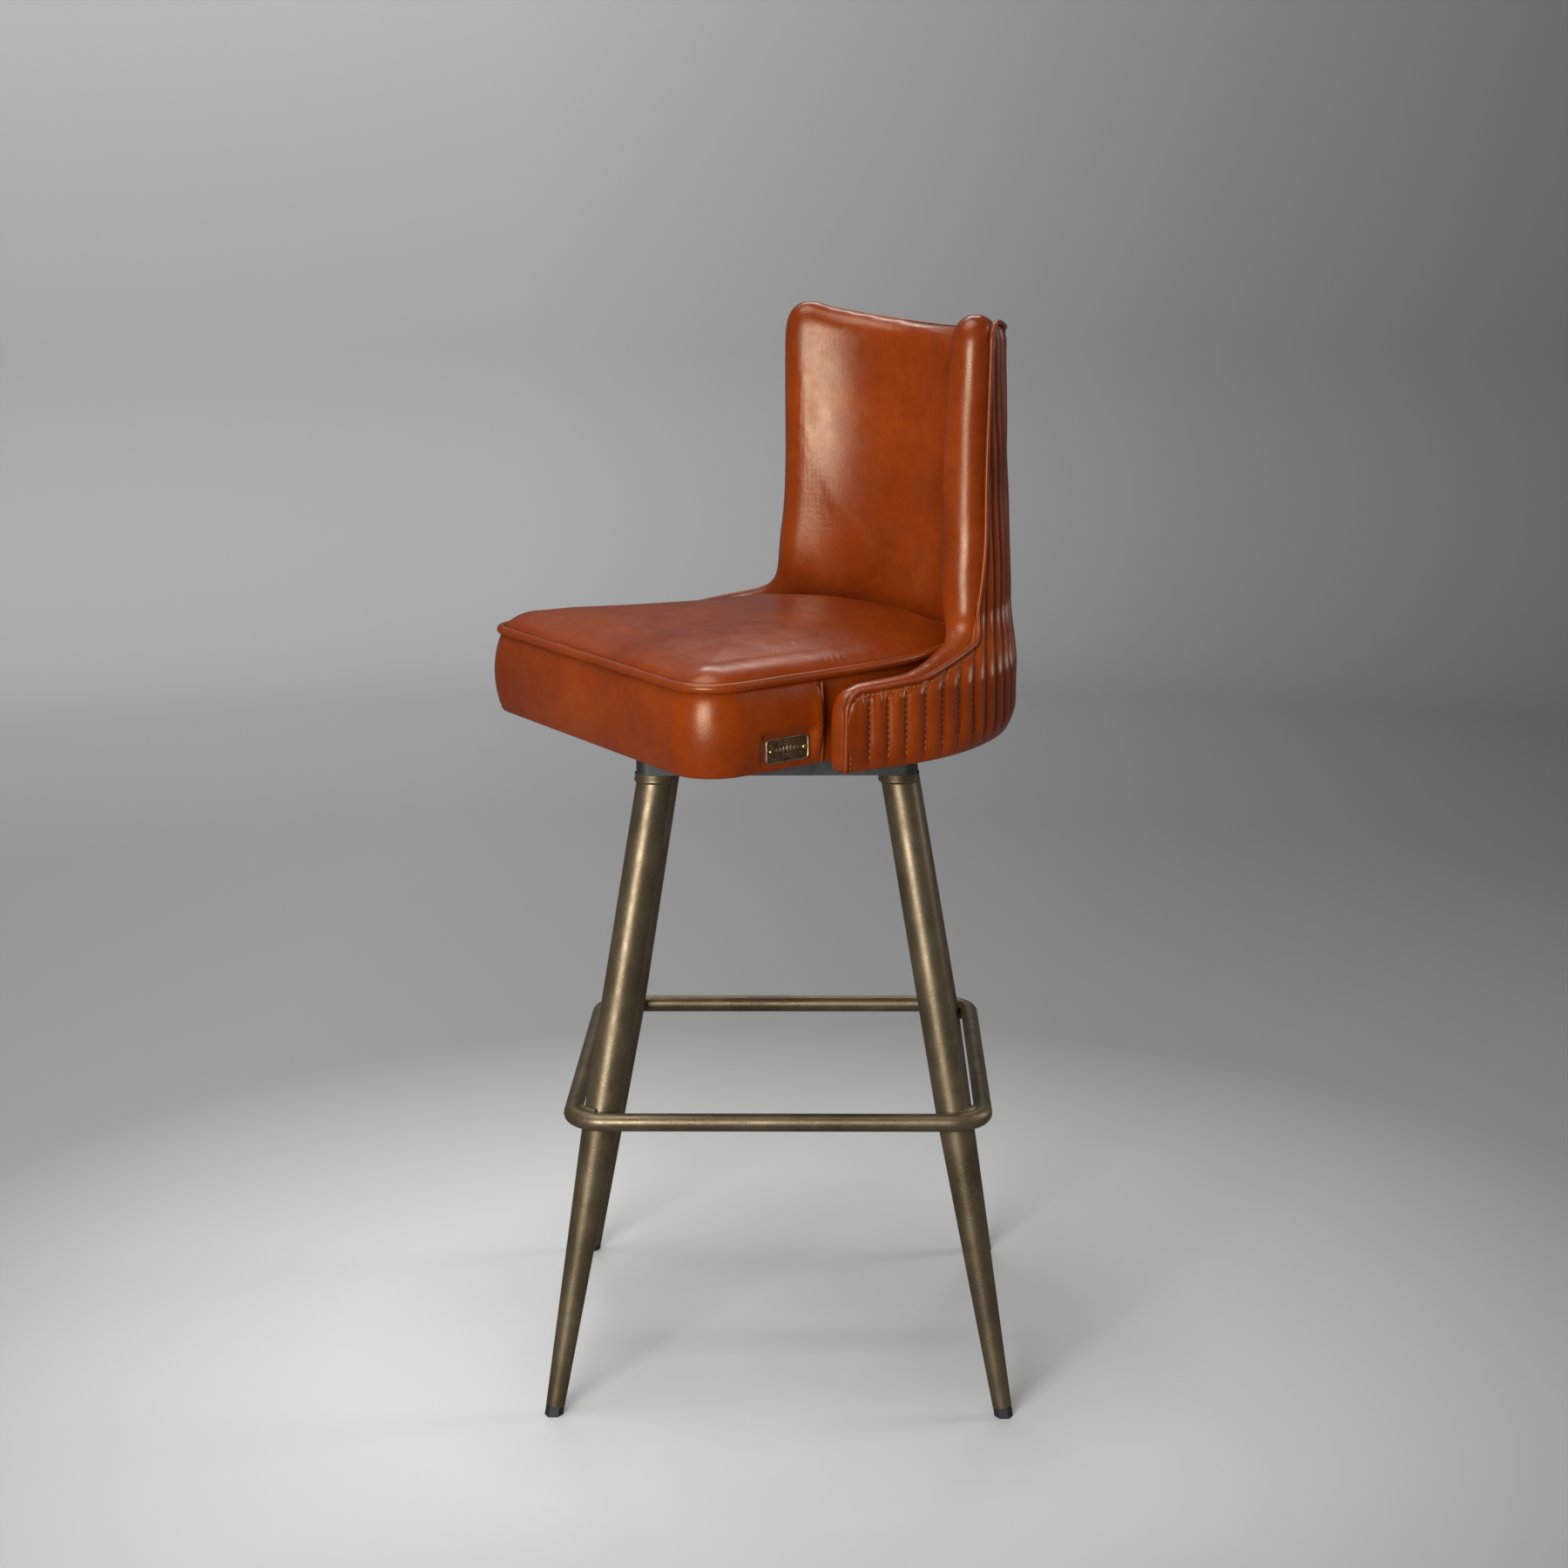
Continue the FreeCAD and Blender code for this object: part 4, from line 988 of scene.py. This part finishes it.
def cushion():
    """The stuffed cushion in its cover, closed underneath."""
    plan = seat_plan(0.0022)
    rows = cushion_rows(plan)
    shoulder = rows[-1]
    middle = np.array([0.025, 0.0, CROWN_TOP + 0.001])
    under = np.array([0.020, 0.0, BOTTOM + 0.001])
    for t in np.linspace(0.0, 1.0, 40)[1:-1]:
        row = shoulder + (middle - shoulder) * t
        row[:, 2] = shoulder[:, 2] + (middle[2] - shoulder[:, 2]) * (1.0 - (1.0 - t) ** 2.2)
        rows.append(row)
    count = len(plan)
    points = np.concatenate(rows + [[middle], [under]])
    faces = grid_faces(len(rows), count, wrap_columns=True).tolist()
    last = (len(rows) - 1) * count
    faces += [[last + j, last + (j + 1) % count, len(points) - 2] for j in range(count)]
    faces += [[(j + 1) % count, j, len(points) - 1] for j in range(count)]
    piece = new_object("seat_cushion", points, faces)
    outward(piece)
    plump(piece, cushion_sewn, voxel=0.006, pressure=4.0, cap=0.005, easing=40)
    points = points_of(piece)
    on_top = smooth_step((points[:, 2] - PIPING_HEIGHT - 0.004) / 0.008)
    points[:, 2] += on_top * crown_creases(points)
    place_points(piece, points)
    return piece


def boxing_seams():
    """The upright seam at each end of the front boxing, a folded lip."""
    heights = np.linspace(BOTTOM + 0.002, PIPING_HEIGHT - 0.004, 40)
    share = (heights - BOTTOM) / (PIPING_HEIGHT - BOTTOM)
    stand = 0.0040 * np.sin(math.pi * share) ** 0.7
    path = side_place(BOXING_SEAM, 0.0, np.zeros(len(heights)), heights, stand)
    left = tube("boxing_seams", path, 0.0013, 10, up=(1.0, 0.0, 0.0))
    right = tube("boxing_seams", path * np.array([1.0, -1.0, 1.0]), 0.0013, 10, up=(1.0, 0.0, 0.0))
    return joined("boxing_seams", [left, right])


def seat_piping():
    """The leather-covered cord round the cushion's upper edge."""
    plan = seat_plan(0.0025)
    normal = plan_normals(plan)
    path = np.concatenate([plan - normal * 0.0025, (piping_height(plan) + 0.0008)[:, None]], axis=1)
    radius = PIPING_RADIUS * (1.0 + 0.05 * waves(path, 0.06, 11))
    return tube("seat_cord", path, radius, 16, closed=True)


# ---- badge -------------------------------------------------------------------------

def badge_ring(inset, rise):
    """The badge's rounded outline, this far in from its edge and this far off the leather."""
    corner = 0.005
    radius = max(corner - inset, 0.0008)
    along, up = [], []
    for k, (side, end) in enumerate(((1, 1), (-1, 1), (-1, -1), (1, -1))):
        for angle in np.linspace(k * math.pi / 2.0, (k + 1) * math.pi / 2.0, 8):
            along.append(side * (BADGE_HALF_WIDTH - corner) + radius * math.cos(angle))
            up.append(end * (BADGE_HALF_HEIGHT - corner) + radius * math.sin(angle))
    return side_place(BADGE_X, BADGE_Z, along, up, np.full(len(along), rise))


def badge_plate():
    rows = [badge_ring(inset, rise) for inset, rise in
            ((0.0004, -0.0015), (0.0, 0.0), (0.0, 0.0012), (0.0008, 0.0014), (0.0040, 0.0014))]
    piece = new_object("badge_back", np.concatenate(rows), capped_faces(len(rows), len(rows[0])))
    outward(piece)
    return piece


def lozenge(along, up, half_length, half_height):
    """A low raised lozenge with sloped sides."""
    rows = []
    for scale, rise in ((1.0, 0.0013), (0.75, 0.0020), (0.0, 0.0021)):
        angles = np.linspace(0.0, 2.0 * math.pi, 4, endpoint=False)
        rows.append(side_place(BADGE_X, BADGE_Z, along + half_length * scale * np.cos(angles),
                               up + half_height * scale * np.sin(angles), np.full(4, rise)))
    return new_object("lozenge", np.concatenate(rows), grid_faces(3, 4, wrap_columns=True), smooth=False)


def badge_relief():
    """A raised rim, two raised rules and a row of lozenges: ornament, with no lettering."""
    rim = [badge_ring(inset, rise) for inset, rise in
           ((0.0001, 0.0008), (0.0002, 0.0020), (0.0006, 0.0024), (0.0012, 0.0023), (0.0016, 0.0013))]
    pieces = [new_object("badge_relief", np.concatenate(rim),
                         grid_faces(len(rim), len(rim[0]), wrap_columns=True))]
    for k in range(-3, 4):
        pieces.append(lozenge(k * 0.0046, 0.0006, 0.0021, 0.0036 - 0.0005 * abs(k)))
    for up in (-0.0052, 0.0062):
        pieces.append(lozenge(0.0, up, 0.0150, 0.0007))
        pieces.append(lozenge(0.0, up + math.copysign(0.0026, up), 0.0090, 0.0006))
    return joined("badge_relief", pieces)


# ---- setting -----------------------------------------------------------------------

CAMERA_PLACE = (0.0736, -3.1420, 1.3230)
CAMERA_HEADING = 0.02196     # turned left of +Y
CAMERA_PITCH = 0.21503       # looking down
CAMERA_ROLL = -0.00585
CAMERA_LENS = 67.093
SENSOR = 36.0


def studio_paint_with_painted_light():
    """Painted light and shade on a grey sweep: pale around the stool as a painted pool of light, greyer
    further out and to the right as painted shade.
    """
    n = Nodes("studio_paint_with_painted_light")
    split = n.tree.nodes.new("ShaderNodeSeparateXYZ")
    n.link(n.place, split.inputs["Vector"])
    out = n.range(n.distance(), 0.0, 1.0, 0.5, 4.8)
    away = n.range(split.outputs["X"], 0.0, 1.0, -0.8, 2.0)
    # painted light: pale near the stool as a pool of light, greyer further out as painted shade, the wall a
    # little lighter again
    colour = n.ramp(out, [(0.0, (0.70, 0.70, 0.695)), (0.16, (0.35, 0.35, 0.345)),
                          (0.5, (0.35, 0.35, 0.35)), (1.0, (0.50, 0.50, 0.50))])
    # painted shade: darker towards the right, where less light falls
    shade = n.ramp(away, [(0.0, (1.0, 1.0, 1.0)), (1.0, (0.45, 0.45, 0.44))])
    n.link(n.mix(1.0, colour, shade, "MULTIPLY"), n.shader.inputs["Base Color"])
    n.set(Roughness=0.7, Specular_IOR_Level=0.3)
    return n.material


def studio():
    """A round, pale studio floor that curves up into its wall, out of every view's way.
    Glossy reflections don't see it, so the leather mirrors only the lights."""
    wall, curve, top = 4.8, 0.8, 4.6
    profile = [(0.0, 0.0), (1.5, 0.0), (3.0, 0.0)]
    for angle in np.linspace(0.0, math.pi / 2.0, 14):
        profile.append((wall - curve * (1.0 - math.sin(angle)), curve * (1.0 - math.cos(angle))))
    profile.append((wall, top))
    turns = np.linspace(0.0, 2.0 * math.pi, 96, endpoint=False)
    points = []
    for reach, z in profile:
        points += [(reach * math.cos(turn), reach * math.sin(turn), z) for turn in turns]
    faces = grid_faces(len(profile), len(turns), wrap_columns=True)
    floor = new_object("studio_sweep", np.array(points), faces)
    floor.data.materials.append(studio_paint_with_painted_light())
    floor.visible_glossy = False


def area_light(name, place, target, size_x, size_y, power):
    """A soft box that lights the stool and stays out of the picture itself."""
    data = bpy.data.lights.new(name, "AREA")
    data.shape = "RECTANGLE"
    data.size = size_x
    data.size_y = size_y
    data.energy = power
    light = bpy.data.objects.new(name, data)
    light.location = place
    light.rotation_euler = (Vector(target) - Vector(place)).to_track_quat("-Z", "Y").to_euler()
    light.visible_camera = False
    bpy.context.scene.collection.objects.link(light)


def lighting():
    """A soft box beside the camera, one overhead and one from the right, and two on the wall."""
    area_light("key", (-0.95, -2.98, 1.28), (0.0, 0.0, 0.80), 1.3, 1.3, 104.0)
    area_light("top", (-0.6, -0.3, 3.2), (0.0, 0.1, 0.7), 1.6, 1.6, 42.0)
    area_light("side", (2.5, 0.5, 1.6), (0.0, 0.0, 0.8), 0.8, 1.4, 17.0)
    area_light("backdrop", (-1.4, 2.7, 3.6), (-0.9, 4.8, 1.1), 2.4, 0.6, 60.0)
    area_light("fill", (0.0, 3.4, 4.2), (0.0, -4.8, 1.0), 2.0, 0.6, 50.0)
    world = bpy.data.worlds.new("studio_world")
    world.use_nodes = True
    background = world.node_tree.nodes["Background"]
    background.inputs["Color"].default_value = (0.80, 0.82, 0.85, 1.0)
    background.inputs["Strength"].default_value = 0.14
    bpy.context.scene.world = world


def camera():
    data = bpy.data.cameras.new("camera")
    data.sensor_width = SENSOR
    data.lens = CAMERA_LENS
    data.clip_end = 50.0
    eye = bpy.data.objects.new("camera", data)
    turn = (Matrix.Rotation(CAMERA_HEADING, 4, "Z")
            @ Matrix.Rotation(math.pi / 2.0 - CAMERA_PITCH, 4, "X")
            @ Matrix.Rotation(CAMERA_ROLL, 4, "Z"))
    eye.matrix_world = Matrix.Translation(CAMERA_PLACE) @ turn
    bpy.context.scene.collection.objects.link(eye)
    bpy.context.scene.camera = eye


# ---- assembly ----------------------------------------------------------------------

dress_frame()

seat_cushion = cushion()
finish_piece(seat_cushion, "seat_leather")
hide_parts("seat_foam", "seat_top_panel", "seat_boxing")

seams = boxing_seams()
finish_piece(seams, "seat_leather", "piping_leather")

cord = seat_piping()
finish_piece(cord, "piping_leather")
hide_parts("seat_piping")

back = inner_back()
finish_piece(back, "back_leather")
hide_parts("back_inner_pad", "back_edge_roll")

panel = outer_panel()
finish_piece(panel, "outer_leather")
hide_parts("back_outer_panel")

edge = welt()
finish_piece(edge, "piping_leather")
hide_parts("back_edge_welt")

for sewn in (channel_stitches(), welt_stitches()):
    finish_piece(sewn, "outer_leather", "thread")

plate = badge_plate()
finish_piece(plate, "antique_brass")
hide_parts("badge_plate")
finish_piece(badge_relief(), "antique_brass", "worn_brass")

studio()
lighting()
camera()
bpy.context.scene.view_settings.view_transform = "Standard"
